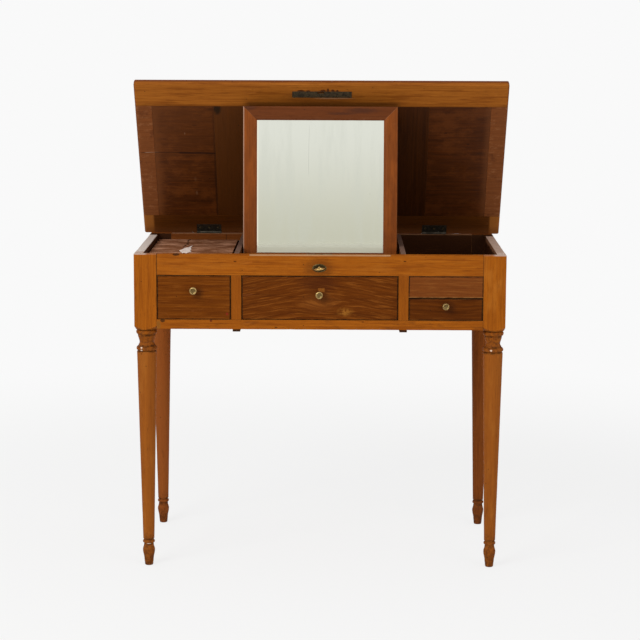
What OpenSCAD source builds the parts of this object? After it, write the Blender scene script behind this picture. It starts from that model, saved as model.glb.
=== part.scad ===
// Dressing table with a hinged lid, a framed mirror in the middle well and three drawers.
// The floor is z = 0, the front faces -y, and the origin is below the middle of the whole table.

/* [Case] */
// Width of the case over the posts
case_w = 878; // [840:1:920]
// Depth of the case from front face to back face
case_d = 450; // [430:1:480]
// Height of the case rim above the floor
case_h = 762; // [745:1:790]
// Side of the square posts
post_w = 53; // [50:1:58]
// Thickness of the rails, aprons and muntins
rail_t = 20; // [18:1:22]
// Height of the front rail above the drawers
top_rail_h = 49.5; // [48:0.5:54]
// Height of the drawer openings
opening_h = 106; // [100:0.5:114]
// Height of the front rail below the drawers
bottom_rail_h = 23; // [20:0.5:30]
// Width of the two muntins
muntin_w = 24; // [22:1:28]
// From the middle of the table to the middle of a muntin
muntin_x = 197.5; // [197:0.5:201]
// Thickness of the partitions between the wells
partition_t = 12; // [11:0.5:13]
// Thickness of the boards under the wells
floor_t = 6; // [5:0.5:7]
// Thickness of the tenons
tenon_t = 10; // [8:1:12]
// Length of the tenons
tenon_l = 25; // [18:1:28]
// Width of the slip let into the top front edge of the front rail
slip_w = 332; // [300:1:360]
// Height of the slip
slip_t = 3; // [2:0.5:4]
// Depth of the slip
slip_d = 7; // [5:0.5:8]

/* [Legs] */
// Drop of the square blocks below the bottom rail
block_drop = 3.5; // [0:0.5:4]
// Height of the collar
collar_h = 13; // [10:0.5:15]
// Height of the hollow between the collar and the bead
cove_h = 25; // [20:0.5:30]
// Height of the bead above the taper
bead_h = 12; // [8:0.5:13]
// Diameter of the collar under the block
collar_d = 50; // [46:0.5:52]
// Diameter of the leg at the top of its taper
shaft_top_d = 47; // [40:0.5:48]
// Diameter of the leg at the foot of its taper
shaft_foot_d = 27; // [24:0.5:30]
// Diameter of the bulb above the floor
bulb_d = 30.4; // [28:0.2:34]
// Diameter of the flat under the foot
foot_d = 17.6; // [14:0.2:22]

/* [Right bay] */
// Height of the fixed panel above the right drawer
blank_h = 52.5; // [45:0.5:56]

/* [Lid] */
// Reach of the lid past each side of the case
lid_side_over = 18; // [8:0.5:25]
// Thickness of the lid
lid_t = 18; // [16:0.5:20]
// Reach of the lid past the front of the case
lid_over = 10; // [8:1:22]
// Angle of the lid above the rim, as it stands
lid_rest = 57.6; // [55:0.1:60]
// Thickness of the sheet that makes the upper face
top_sheet_t = 4; // [3:0.5:5]
// Depth of the panels below the face of the lid's rails
panel_sink = 4; // [3:0.5:5]
// Width of the lid's front rail
lid_front_w = 68; // [60:1:75]
// Width of the lid's back rail
lid_back_w = 51; // [48:1:62]
// Width of the strips at the ends of the lid
lid_end_w = 41; // [30:1:44]
// Width of the middle panel of the lid
lid_middle_w = 529; // [500:1:550]
// Radius of the lid's rounded edges
lid_edge_r = 6; // [3:0.5:7]

/* [Lid hinges] */
// Length of a hinge leaf
leaf_l = 63; // [55:1:75]
// Width of the case's hinge leaf from its pin
leaf_w = 20; // [18:0.5:22]
// Width of the lid's hinge leaf from its pin
lid_leaf_w = 26; // [20:0.5:30]
// Thickness of a hinge leaf
leaf_t = 2; // [1.5:0.1:2.5]
// Radius of the hinge knuckle
knuckle_r = 4; // [3.5:0.1:4.5]
// Radius of the hinge pin
hinge_pin_r = 1.5; // [1.2:0.1:2]
// From the middle of the table to the middle of a hinge
hinge_x = 290; // [270:1:310]
// Radius of the screws' shanks
screw_r = 1.5; // [1.2:0.1:1.8]
// Radius of the screws' heads
screw_head_r = 3; // [2.6:0.1:3.4]
// Length of the screws
screw_l = 12; // [8:0.5:13]

/* [Mirror] */
// Gap between the mirror frame and each partition
mirror_gap = 4.5; // [2.5:0.5:7]
// Gap between the foot of the folded mirror and the back
fold_back_gap = 17; // [11.5:0.5:25]
// Thickness of the mirror frame
mirror_t = 16; // [14:0.5:18]
// Shift of the mirror to the right of the middle
mirror_x = -1.5; // [-2:0.5:2]
// Lean of the mirror from upright, as it stands
mirror_lean = 4; // [2:0.5:5]
// From the case front to the mirror pivots, as the mirror stands
mirror_y = 165; // [155:1:168]
// Gap between the folded mirror and the front rail
fold_gap = 14; // [12:0.5:15]
// Height of the pivots above the foot of the mirror frame
pivot_up = 10; // [9:0.5:12]
// Radius of the pivot pins
pivot_r = 3; // [2.5:0.1:3.5]
// Width of the stiles and the top rail
stile_w = 33.5; // [30:0.5:40]
// Width of the bottom rail
foot_rail_w = 25; // [23:0.5:35]
// Thickness of the mirror glass
glass_t = 4; // [3:0.5:4]
// Thickness of the board behind the glass
backboard_t = 5; // [4:0.5:5]

/* [Mirror strut] */
// Height of the strut's hinge above the mirror pivots
strut_up = 225; // [205:1:235]
// Width of the strut
strut_w = 40; // [30:1:50]
// Thickness of the strut
strut_t = 8; // [6:0.5:9]
// Angle of the strut from plumb, as it stands
strut_angle = 15; // [12:0.5:15.5]
// Radius of the strut's hinge pin
strut_pin_r = 1.5; // [1.2:0.1:2]

/* [Compartment cover] */
// Thickness of the cover board
cover_t = 8; // [6:0.5:9]
// Depth of the cover's face below the rim
cover_sink = 15; // [12:0.5:18]
// Gap between the cover and the partition
cover_gap = 11; // [5:0.5:14]
// Radius of the cover's pivot pins
cover_pin_r = 2; // [1.5:0.1:2.5]

/* [Drawers] */
// Thickness of the drawer fronts
front_t = 19; // [16:1:20]
// Thickness of the drawer sides and backs
side_t = 8; // [6:0.5:10]
// Thickness of the drawer bottoms
bottom_t = 5; // [4:0.5:6]
// Gap between the shut drawers and the back
drawer_back_gap = 35; // [30:1:70]
// Gap round a drawer front
front_gap = 1.2; // [0.8:0.1:1.6]

/* [Knobs] */
// Diameter of the knobs of the left and middle drawers
knob_d = 18.7; // [16:0.1:22]
// Diameter of the knob of the right drawer
small_knob_d = 17; // [14:0.1:20]
// Reach of a knob in front of its drawer
knob_out = 19; // [15:0.5:24]
// From the middle of the table to the left knob
left_knob_x = 298.5; // [280:0.5:320]
// From the middle of the table to the right knob
right_knob_x = 297; // [280:0.5:320]
// Height of the left knob above the bottom rail
left_knob_z = 70.5; // [40:0.5:90]
// Height of the middle knob above the bottom rail
middle_knob_z = 61.5; // [40:0.5:90]
// Height of the right knob above the bottom rail
right_knob_z = 35.5; // [20:0.5:42]

/* [Lock and key] */
// From the middle of the table to the keyhole, negative to the left
lock_x = -1.5; // [-6:0.5:6]
// Width of the lock case
lock_w = 60; // [50:1:70]
// Height of the lock case
lock_h = 44; // [42:0.5:46]
// Depth of the lock case
lock_t = 11; // [10:0.5:12]
// Height of the keyhole above the foot of the front rail
key_up = 18; // [15:0.5:20]
// Radius of the key's shank
shank_r = 2.5; // [2:0.1:3]
// Reach of the key in front of the rail
key_out = 30; // [26:0.5:36]
// Width of the key's bow
bow_w = 27; // [20:0.5:32]
// Thickness of the key's bow
bow_t = 3.5; // [2.5:0.1:4]
// Turn of the key from level, as it stands
key_rest = 6; // [0:1:10]
// Width of the oval escutcheon
escutcheon_w = 34; // [28:0.5:36]
// Height of the oval escutcheon
escutcheon_h = 20; // [18:0.5:22]
// Width of the lock bolt
bolt_w = 16; // [12:0.5:20]
// Thickness of the lock bolt
bolt_t = 3; // [2:0.5:4]
// Throw of the lock bolt
bolt_throw = 8; // [5:0.5:9]
// Width of the strike plate in the lid
strike_w = 145; // [120:1:160]
// Depth of the strike plate from front to back
strike_l = 18; // [16:0.5:22]
// Shift of the strike plate to the right of the middle
strike_x = 1.5; // [-3:0.5:3]

/* [Fits] */
// Gap round a tenon or a let-in plate
let_in_gap = 0.15; // [0.1:0.05:0.4]
// Gap between a pin and its hole
pin_gap = 0.05; // [0.02:0.01:0.1]
// Gap between moving boards
board_gap = 1.5; // [1:0.1:2]
// Gap between the lid and the rim when the lid is shut
seat_gap = 0.4; // [0.3:0.1:1]

/* [Hidden] */

// How far a cut runs past the wood that it cuts
past = 1;
// Facets round the pins, bores and turned work
round_fn = 64;

// Heights above the floor: openings, rails, wells
opening_top = case_h - top_rail_h;
opening_foot = opening_top - opening_h;
bottom_rail_z = opening_foot - bottom_rail_h;
block_foot = bottom_rail_z - block_drop;
well_floor_top = opening_top + floor_t;
right_well_z = opening_top - blank_h;

// Half widths across the case, and the inner face of the back
half_w = case_w / 2;
post_in = half_w - post_w;
wall_in = half_w - rail_t;
bay_out = muntin_x + muntin_w / 2;
bay_in = muntin_x - muntin_w / 2;
partition_out = muntin_x + partition_t / 2;
partition_in = muntin_x - partition_t / 2;
back_in = case_d - rail_t;

// The lid turns about a pin just behind the top rear edge of the case
lid_setback = knuckle_r + let_in_gap + pin_gap;
hinge_y = case_d + lid_setback;
hinge_z = case_h + seat_gap;
lid_reach = hinge_y + lid_over;
lid_w = case_w + 2 * lid_side_over;

// The table is centred between the key and the rear corner of the standing lid
lid_rear = hinge_y - lid_setback * cos(lid_rest) + lid_t * sin(lid_rest);
front_y = (key_out - lid_rear) / 2;

// ---- Shapes and places that several pieces share

// From the case's own frame, with its front face at y = 0, to the table's frame
module place()
    translate([0, front_y, 0]) children();

// A board given by its lowest and its highest corner
module board(low, high)
    translate(low) cube(high - low);

// The right-hand piece for side 1, and its mirror image for side -1
module on_side(side)
    if (side > 0) children();
    else mirror([1, 0, 0]) children();

module on_both_sides() {
    children();
    mirror([1, 0, 0]) children();
}

// A round bar along x
module bar_x(from_x, to_x, y, z, r)
    translate([from_x, y, z]) rotate([0, 90, 0]) cylinder(r = r, h = to_x - from_x, $fn = round_fn);

// Points along an arc about c, and along an s-shaped swell between two radii
function arc(c, r, from, to, n = 8) =
    [for (i = [0 : n]) let (a = from + (to - from) * i / n) c + r * [cos(a), sin(a)]];
function swell(r0, z0, r1, z1, n = 8) =
    [for (i = [0 : n]) [r0 + (r1 - r0) * (1 - cos(180 * i / n)) / 2, z0 + (z1 - z0) * i / n]];
function oval(a, b, n = 48) =
    [for (i = [0 : n - 1]) [a * cos(360 * i / n), b * sin(360 * i / n)]];

// A countersunk wood screw, head up, or the hole for it
head_h = 2;
slot_w = 0.8;
module screw() difference() {
    union() {
        translate([0, 0, -head_h]) cylinder(r1 = screw_r, r2 = screw_head_r, h = head_h, $fn = round_fn);
        translate([0, 0, -screw_l]) cylinder(r = screw_r, h = screw_l, $fn = round_fn);
    }
    translate([0, 0, -slot_w / 2]) cube([3 * screw_head_r, slot_w, slot_w], center = true);
}
module screw_hole() {
    g = pin_gap;
    translate([0, 0, -head_h]) cylinder(r1 = screw_r + g, r2 = screw_head_r + g, h = head_h, $fn = round_fn);
    translate([0, 0, -screw_l - g]) cylinder(r = screw_r + g, h = screw_l + g, $fn = round_fn);
    cylinder(r = screw_head_r + g, h = past, $fn = round_fn);
}

// ---- Legs

foot_rise = 16;
bulb_z = 38;
neck_z = 51;
ring_z = 59;
ring_r = 4.5;
taper_z = 66;

// Half outline of the turned leg: foot, bulb, ring, taper, bead, hollow and collar
function leg_outline() = let (
        collar_z = block_foot - collar_h,
        cove_z = collar_z - cove_h,
        bead_z = cove_z - bead_h,
        shaft_r = shaft_top_d / 2,
        bulb_r = bulb_d / 2,
        collar_r = collar_d / 2,
        waist_r = shaft_r - 6.5)
    concat(
        [[0, 0], [foot_d / 2, 0]],
        swell(foot_d / 2 + 2, foot_rise, bulb_r, bulb_z),
        swell(bulb_r, bulb_z, bulb_r - 3, neck_z),
        arc([bulb_r - ring_r, ring_z], ring_r, -75, 75),
        [[shaft_foot_d / 2, taper_z], [shaft_r, bead_z - 2], [shaft_r - 2, bead_z - 0.5]],
        arc([shaft_r - bead_h * 0.4, bead_z + bead_h / 2], bead_h / 2, -80, 80),
        swell(waist_r + 3, cove_z + 0.5, waist_r, cove_z + cove_h * 0.32),
        swell(waist_r, cove_z + cove_h * 0.32, collar_r - 4, collar_z - 0.5),
        arc([collar_r - collar_h / 2, collar_z + collar_h / 2], collar_h / 2, -80, 80),
        [[collar_r - 3, block_foot + past], [0, block_foot + past]]);

// The lathe takes the corners off the foot of the square block
shoulder_h = 13;
shoulder_r = post_w * 0.72;
function shoulder_outline() = concat(
    [[0, block_foot], [post_w / 2 - 1, block_foot]],
    swell(post_w / 2 - 0.5, block_foot + 0.5, shoulder_r, block_foot + shoulder_h),
    [[shoulder_r, case_h], [0, case_h]]);

// Tenons are centred in the rails, with shoulders above and below
deep_shoulder = 8;
shallow_shoulder = 4;
tenon_y = (rail_t - tenon_t) / 2;
apron_tenon = [bottom_rail_z + deep_shoulder, case_h - deep_shoulder];
top_tenon = [opening_top + deep_shoulder, case_h - deep_shoulder];
bottom_tenon = [bottom_rail_z + shallow_shoulder, opening_foot - shallow_shoulder];

// Tenon at the right end of a front or back rail, grown by a gap for its mortise
module end_tenon(z, gap = 0)
    board([post_in - past, tenon_y - gap, z[0] - gap],
          [post_in + tenon_l + gap, tenon_y + tenon_t + gap, z[1] + gap]);

// Tenon at the front end of the right apron, grown by a gap for its mortise
module apron_tenon(gap = 0)
    board([wall_in + tenon_y - gap, post_w - tenon_l - gap, apron_tenon[0] - gap],
          [wall_in + tenon_y + tenon_t + gap, post_w + past, apron_tenon[1] + gap]);

// The right front leg. Beside the wells its inner corner is cut away, so the wells stay square.
module front_leg(mortises, cut_z) difference() {
    union() {
        translate([half_w - post_w / 2, post_w / 2, 0])
            rotate_extrude($fn = round_fn) polygon(leg_outline());
        intersection() {
            board([post_in, 0, block_foot], [half_w, post_w, case_h]);
            translate([half_w - post_w / 2, post_w / 2, 0])
                rotate_extrude($fn = round_fn) polygon(shoulder_outline());
        }
    }
    board([0, rail_t, cut_z], [wall_in, post_w + past, case_h + past]);
    apron_tenon(let_in_gap);
    for (z = mortises) end_tenon(z, let_in_gap);
}
module rear_leg(cut_z)
    translate([0, case_d, 0]) mirror([0, 1, 0]) front_leg([apron_tenon], cut_z);

module leg_front_left() color("peru") place() on_side(-1) front_leg([top_tenon, bottom_tenon], opening_top);
module leg_front_right() color("peru") place() front_leg([top_tenon, bottom_tenon], right_well_z);
module leg_rear_left() color("peru") place() difference() {
    on_side(-1) rear_leg(opening_top);
    cover_pin_holes();
}
module leg_rear_right() color("peru") place() rear_leg(right_well_z);

// ---- Rails and aprons

module front_top_rail() color("peru") place() difference() {
    union() {
        board([-post_in, 0, opening_top], [post_in, rail_t, case_h]);
        on_both_sides() end_tenon(top_tenon);
    }
    // mortise for the lock, open above and behind
    board([lock_x - lock_w / 2 - let_in_gap, lock_y - let_in_gap, lock_z - let_in_gap],
          [lock_x + lock_w / 2 + let_in_gap, rail_t + past, case_h + past]);
    keyhole(shank_r + let_in_gap, rail_t);
    board([-slip_w / 2 - let_in_gap, -past, case_h - slip_t],
          [slip_w / 2 + let_in_gap, slip_d, case_h + past]);
}

module rail_slip() color("burlywood") place()
    board([-slip_w / 2, 0, case_h - slip_t], [slip_w / 2, slip_d - let_in_gap, case_h]);

module front_bottom_rail() color("peru") place() {
    board([-post_in, 0, bottom_rail_z], [post_in, rail_t, opening_foot]);
    on_both_sides() end_tenon(bottom_tenon);
}

module muntins() color("peru") place() on_both_sides()
    board([bay_in, 0, opening_foot], [bay_out, rail_t, opening_top]);

module blank_panel() color("saddlebrown") place()
    board([bay_out, 0, right_well_z + front_gap / 2], [post_in, rail_t, opening_top]);

module apron() {
    board([wall_in, post_w, bottom_rail_z], [half_w, case_d - post_w, case_h]);
    apron_tenon();
    translate([0, case_d, 0]) mirror([0, 1, 0]) apron_tenon();
}
module left_apron() color("peru") place() on_side(-1) apron();
module right_apron() color("peru") place() apron();

module back_apron() color("peru") place() difference() {
    union() {
        board([-post_in, back_in, bottom_rail_z], [post_in, case_d, case_h]);
        translate([0, case_d, 0]) mirror([0, 1, 0]) on_both_sides() end_tenon(apron_tenon);
    }
    at_hinges() board([-leaf_l / 2 - let_in_gap, -leaf_w - let_in_gap, -seat_gap - leaf_t],
                      [leaf_l / 2 + let_in_gap, 0, past]);
    at_hinges() leaf_screws(leaf_w, -seat_gap) screw_hole();
}

// ---- Partitions, floors and runners

groove_d = 6;

// The mirror pivots run in a level groove in each partition
module partition() difference() {
    board([partition_in, rail_t, bottom_rail_z], [partition_out, back_in, case_h]);
    for (y = [mirror_y, mirror_flat_y])
        bar_x(partition_in - past, partition_in + groove_d, y, mirror_z, pivot_r + pin_gap);
    board([partition_in - past, mirror_y, mirror_z - pivot_r - pin_gap],
          [partition_in + groove_d, mirror_flat_y, mirror_z + pivot_r + pin_gap]);
}
module left_partition() color("saddlebrown") place() difference() {
    on_side(-1) partition();
    cover_pin_holes();
}
module right_partition() color("saddlebrown") place() partition();

module left_well_floor() color("saddlebrown") place()
    board([-wall_in, rail_t, opening_top], [-partition_out, back_in, well_floor_top]);

module middle_well_floor() color("saddlebrown") place()
    board([-partition_in, rail_t, opening_top], [partition_in, back_in, well_floor_top]);

module right_well_floor() color("saddlebrown") place()
    board([partition_out, rail_t, right_well_z], [wall_in, back_in, right_well_z + floor_t]);

bearer_w = 18;
bearer_t = 6;
bearer_inset = 3;
module runner_bearers() color("saddlebrown") place() on_both_sides()
    board([muntin_x - bearer_w / 2, bearer_inset, bottom_rail_z - bearer_t],
          [muntin_x + bearer_w / 2, case_d - bearer_inset, bottom_rail_z]);

// Drawers slide on the ledge of an L-shaped strip and are guided by its upright
runner_h = 13;
guide_h = 20;
ledge_w = 9;
guide_gap = 1;
module runner(from_y, to_y, wall_x, bay_x) {
    into = bay_x > wall_x ? 1 : -1;
    guide_x = bay_x + into * (board_gap - guide_gap);
    ledge_x = bay_x + into * (board_gap + ledge_w);
    translate([0, to_y, opening_foot]) rotate([90, 0, 0]) linear_extrude(to_y - from_y)
        polygon([[wall_x, -runner_h], [ledge_x, -runner_h], [ledge_x, 0],
                 [guide_x, 0], [guide_x, guide_h], [wall_x, guide_h]]);
}
module outer_runners() color("tan") place() on_both_sides()
    runner(post_w, case_d - post_w, wall_in, post_in);
module inner_runners() color("tan") place() on_both_sides() {
    runner(rail_t, back_in, partition_out, bay_out);
    runner(rail_t, back_in, partition_in, bay_in);
}

// ---- Lock and key

key_z = opening_top + key_up;
lock_z = case_h - lock_h;
lock_y = rail_t - lock_t;
plate_t = 1.5;
bolt_y = rail_t - bolt_t - 1;
bolt_h = 22;
bolt_top = case_h - 0.5;
bit_l = 4;
bit_t = 1.8;

// Round keyhole with a slot below it for the bit
module keyhole(r, depth) {
    translate([lock_x, depth, key_z]) rotate([90, 0, 0]) cylinder(r = r, h = 2 * depth + past, $fn = round_fn);
    board([lock_x - bit_t / 2 - let_in_gap, -depth - past, key_z - shank_r - bit_l - let_in_gap],
          [lock_x + bit_t / 2 + let_in_gap, depth, key_z]);
}

// Hollow case, with room for the bolt, its way out above, and the turning bit
module lock_case() color("darkgoldenrod") place() difference() {
    board([lock_x - lock_w / 2, lock_y, lock_z], [lock_x + lock_w / 2, rail_t, case_h]);
    board([lock_x - bolt_w / 2 - pin_gap, bolt_y - pin_gap, lock_z + plate_t],
          [lock_x + bolt_w / 2 + pin_gap, bolt_y + bolt_t + pin_gap, case_h + past]);
    translate([lock_x, bolt_y, key_z]) rotate([90, 0, 0])
        cylinder(r = shank_r + bit_l + 0.5, h = lock_t, $fn = round_fn);
}

module escutcheon() color("darkgoldenrod") place() difference() {
    translate([lock_x, 0, key_z]) rotate([90, 0, 0])
        linear_extrude(plate_t) polygon(oval(escutcheon_w / 2, escutcheon_h / 2));
    keyhole(shank_r + pin_gap, 2 * plate_t);
}

// The key: a shank, a flat ring-shaped bow and a bit
bow_l = key_out - 8;
module key() color("gold") place() translate([lock_x, 0, key_z]) rotate([90, -key_rest, 0]) {
    translate([0, 0, 1 - bolt_y]) cylinder(r = shank_r, h = bolt_y - 1 + key_out - bow_l + 1, $fn = round_fn);
    translate([0, bow_t / 2, key_out - bow_l / 2]) rotate([90, 0, 0]) linear_extrude(bow_t) difference() {
        polygon(oval(bow_w / 2, bow_l / 2));
        polygon(oval(bow_w / 2 - 4, bow_l / 2 - 4.5));
    }
    translate([-bit_t / 2, -shank_r - bit_l, 1 - bolt_y]) cube([bit_t, shank_r + bit_l - 1, 4]);
}

module lock_bolt() color("darkgoldenrod") place()
    board([lock_x - bolt_w / 2, bolt_y, bolt_top - bolt_h], [lock_x + bolt_w / 2, bolt_y + bolt_t, bolt_top]);

// ---- Lid

// The lid is drawn shut with its hinge pin at the origin, then turned up about the pin
module lid_place()
    place() translate([0, hinge_y, hinge_z]) rotate([-lid_rest, 0, 0]) children();

// Whole lid: rounded along the front and the ends, with a square back edge
plan_r = 9;
module lid_blank() {
    w = lid_w / 2;
    r = lid_edge_r;
    end_half = concat(arc([w - r, r], r, -90, 0), arc([w - r, lid_t - r], r, 0, 90));
    other_half = [for (i = [len(end_half) - 1 : -1 : 0]) [-end_half[i][0], end_half[i][1]]];
    side_view = concat([[-lid_setback, 0], [-lid_setback, lid_t]],
                       arc([r - lid_reach, lid_t - r], r, 90, 180), arc([r - lid_reach, r], r, 180, 270));
    plan = concat([[w, -lid_setback], [-w, -lid_setback]],
                  arc([plan_r - w, plan_r - lid_reach], plan_r, 180, 270),
                  arc([w - plan_r, plan_r - lid_reach], plan_r, 270, 360));
    intersection() {
        rotate([90, 0, 0]) linear_extrude(lid_reach + past) polygon(concat(end_half, other_half));
        translate([-w - past, 0, 0]) rotate([90, 0, 90]) linear_extrude(lid_w + 2 * past) polygon(side_view);
        linear_extrude(lid_t) polygon(plan);
    }
}

// The stretch of the lid from one distance to another from the pin
module lid_piece(from_x, to_x, near, far, low, high) intersection() {
    lid_blank();
    board([from_x, -far, low], [to_x, -near, high]);
}

rail_top = lid_t - top_sheet_t;
front_near = lid_reach - lid_front_w;
back_far = lid_back_w + lid_setback;
end_in = lid_w / 2 - lid_end_w;
middle_in = lid_middle_w / 2;

module lid_top() color("sienna") lid_place()
    lid_piece(-lid_w, lid_w, 0, lid_reach + past, rail_top, lid_t + past);

module lid_front_rail() color("peru") lid_place() difference() {
    lid_piece(-lid_w, lid_w, front_near, lid_reach + past, -past, rail_top);
    strike_shape(let_in_gap);
    bolt_slot(bolt_throw + 3);
    strike_screws() screw_hole();
}

module lid_back_rail() color("peru") lid_place() difference() {
    lid_piece(-lid_w, lid_w, 0, back_far, -past, rail_top);
    for (side = [-1, 1]) translate([side * hinge_x, 0, 0]) {
        board([-leaf_l / 2 - let_in_gap, -lid_leaf_w - let_in_gap, -past],
              [leaf_l / 2 + let_in_gap, 0, leaf_t]);
        leaf_screws(lid_leaf_w, 0) mirror([0, 0, 1]) screw_hole();
    }
}

module lid_end_strips() color("peru") lid_place() on_both_sides()
    lid_piece(end_in, lid_w, back_far, front_near, -past, rail_top);

module lid_panel(from_x, to_x) lid_place()
    board([from_x, -front_near, panel_sink], [to_x, -back_far, rail_top]);
module lid_left_panel() color("saddlebrown") lid_panel(-end_in, -middle_in);
module lid_middle_panel() color("saddlebrown") lid_panel(-middle_in, middle_in);
module lid_right_panel() color("saddlebrown") lid_panel(middle_in, end_in);

// The strike plate lies flush in the front rail, over the lock bolt
strike_t = 2;
strike_edge = 4;
strike_near = hinge_y - bolt_y - bolt_t / 2 - strike_l + strike_edge;
strike_screw_gap = 35.5;
module strike_shape(gap = 0)
    board([strike_x - strike_w / 2 - gap, -strike_near - strike_l - gap, gap > 0 ? -past : 0],
          [strike_x + strike_w / 2 + gap, -strike_near + gap, strike_t]);
module bolt_slot(depth)
    board([lock_x - bolt_w / 2 - 1, bolt_y - hinge_y - board_gap / 2, -past],
          [lock_x + bolt_w / 2 + 1, bolt_y - hinge_y + bolt_t + board_gap / 2, depth]);
module strike_screws()
    for (i = [-1 : 1]) translate([strike_x + i * strike_screw_gap, -strike_near - screw_head_r - 1, 0])
        mirror([0, 0, 1]) children();
module strike_plate() color("dimgray") lid_place() difference() {
    strike_shape();
    bolt_slot(lid_t);
    strike_screws() screw_hole();
}

// ---- Lid hinges

knuckle_gap = 0.3;

module at_hinges()
    for (side = [-1, 1]) translate([side * hinge_x, hinge_y, hinge_z]) children();

// Three screws along a leaf, on the side of its face at height z
module leaf_screws(width, z)
    for (i = [-1 : 1]) translate([i * leaf_l * 0.36, -(lid_setback + width) / 2, z]) children();

// One leaf beside the pin, at height low, with its share of the three knuckles
module hinge_leaf(width, low, knuckles) {
    third = leaf_l / 3;
    difference() {
        union() {
            board([-leaf_l / 2, -width, low], [leaf_l / 2, -lid_setback, low + leaf_t]);
            for (i = knuckles) {
                x = [i * third - (third - knuckle_gap) / 2, i * third + (third - knuckle_gap) / 2];
                bar_x(x[0], x[1], 0, 0, knuckle_r);
                board([x[0], -lid_setback - leaf_t, low], [x[1], 0, low + leaf_t]);
            }
        }
        bar_x(-leaf_l, leaf_l, 0, 0, hinge_pin_r + pin_gap);
    }
}

module case_hinge_leaves() color("dimgray") place() at_hinges() difference() {
    hinge_leaf(leaf_w, -seat_gap - leaf_t, [-1, 1]);
    leaf_screws(leaf_w, -seat_gap) screw_hole();
}
module case_screws() color("dimgray") place() at_hinges() leaf_screws(leaf_w, -seat_gap) screw();

module lid_hinge_leaves() color("dimgray") lid_place()
    for (side = [-1, 1]) translate([side * hinge_x, 0, 0]) difference() {
        hinge_leaf(lid_leaf_w, 0, [0]);
        leaf_screws(lid_leaf_w, 0) mirror([0, 0, 1]) screw_hole();
    }
module lid_screws() color("dimgray") lid_place() {
    strike_screws() screw();
    for (side = [-1, 1]) translate([side * hinge_x, 0, 0])
        leaf_screws(lid_leaf_w, 0) mirror([0, 0, 1]) screw();
}

module hinge_pins() color("gray") place() at_hinges() bar_x(-leaf_l / 2, leaf_l / 2, 0, 0, hinge_pin_r);

// ---- Mirror

// The mirror fills the middle well when it is folded
mirror_w = 2 * (partition_in - mirror_gap);
mirror_h = back_in - fold_back_gap - rail_t - fold_gap;

// The pivots sit high enough for the foot of the frame to swing clear of the floor
floor_gap = 0.5;
mirror_z = well_floor_top + norm([pivot_up, mirror_t / 2]) + floor_gap;
mirror_flat_y = rail_t + fold_gap + mirror_h - pivot_up;
rebate_w = 8;
lip_t = 4;
bevel_w = 6;
frame_foot = -pivot_up;
frame_top = mirror_h - pivot_up;
frame_side = mirror_w / 2;

// The mirror is drawn upright with its pivots at the origin, its face towards -y
module mirror_place()
    place() translate([mirror_x, mirror_y, mirror_z]) rotate([-mirror_lean, 0, 0]) children();

// Section of a frame member: its outer edge is at 0, its back at 0, its face at mirror_t
function frame_section(w) = [
    [0, 0], [w - rebate_w, 0], [w - rebate_w, mirror_t - lip_t], [w, mirror_t - lip_t],
    [w, mirror_t - 3], [w - bevel_w, mirror_t], [1.5, mirror_t], [0, mirror_t - 1.5]];

// A member along z with its outer edge on x = 0, reaching towards -x
module frame_member(w, length)
    translate([0, mirror_t / 2, 0]) rotate([0, 0, 180])
        linear_extrude(length, center = true) polygon(frame_section(w));

// What lies between the mitres of one member, seen from the front
module mitred(points) intersection() {
    rotate([90, 0, 0]) linear_extrude(4 * mirror_t, center = true) polygon(points);
    children();
}

sight_side = frame_side - stile_w;
sight_top = frame_top - stile_w;
sight_foot = frame_foot + foot_rail_w;
pivot_l = 10;

module mirror_stiles() color("sienna") mirror_place() on_both_sides() difference() {
    mitred([[frame_side, frame_foot], [frame_side, frame_top],
            [sight_side, sight_top], [sight_side, sight_foot]])
        translate([frame_side, 0, 0]) frame_member(stile_w, 3 * mirror_h);
    bar_x(frame_side - pivot_l, frame_side + past, 0, 0, pivot_r + pin_gap);
}
module mirror_top_rail() color("sienna") mirror_place()
    mitred([[-frame_side, frame_top], [frame_side, frame_top],
            [sight_side, sight_top], [-sight_side, sight_top]])
        translate([0, 0, frame_top]) rotate([0, -90, 0]) frame_member(stile_w, mirror_w);
module mirror_foot_rail() color("sienna") mirror_place() difference() {
    mitred([[-frame_side, frame_foot], [frame_side, frame_foot],
            [sight_side, sight_foot], [-sight_side, sight_foot]])
        translate([0, 0, frame_foot]) rotate([0, 90, 0]) frame_member(foot_rail_w, mirror_w);
    on_both_sides() bar_x(frame_side - pivot_l, frame_side + past, 0, 0, pivot_r + pin_gap);
}

// The glass and the backboard lie in the rebate, behind the lip
pane_play = 0.3;
glass_back = lip_t + glass_t - mirror_t / 2;
backboard_back = glass_back + backboard_t;
module pane(front, back) board(
    [-sight_side - rebate_w + pane_play, front, sight_foot - rebate_w + pane_play],
    [sight_side + rebate_w - pane_play, back, sight_top + rebate_w - pane_play]);
module mirror_glass() color("lightsteelblue") mirror_place() pane(glass_back - glass_t, glass_back);
module mirror_backboard() color("tan") mirror_place() pane(glass_back, backboard_back);

module mirror_pivots() color("gold") place() for (side = [-1, 1]) on_side(side)
    bar_x(frame_side - pivot_l + 0.2 + side * mirror_x, partition_in + groove_d - 0.2,
          mirror_y, mirror_z, pivot_r);

// ---- Strut behind the mirror

strut_out = mirror_t / 2 + board_gap + strut_t / 2;
strut_y = mirror_y + strut_up * sin(mirror_lean) + strut_out * cos(mirror_lean);
strut_z = mirror_z + strut_up * cos(mirror_lean) - strut_out * sin(mirror_lean);
strut_l = (strut_z - well_floor_top - floor_gap - strut_t / 2 * sin(strut_angle)) / cos(strut_angle);
lug_in = strut_w / 2 + 0.5;
lug_out = lug_in + 8;
lug_r = 4;

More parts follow.
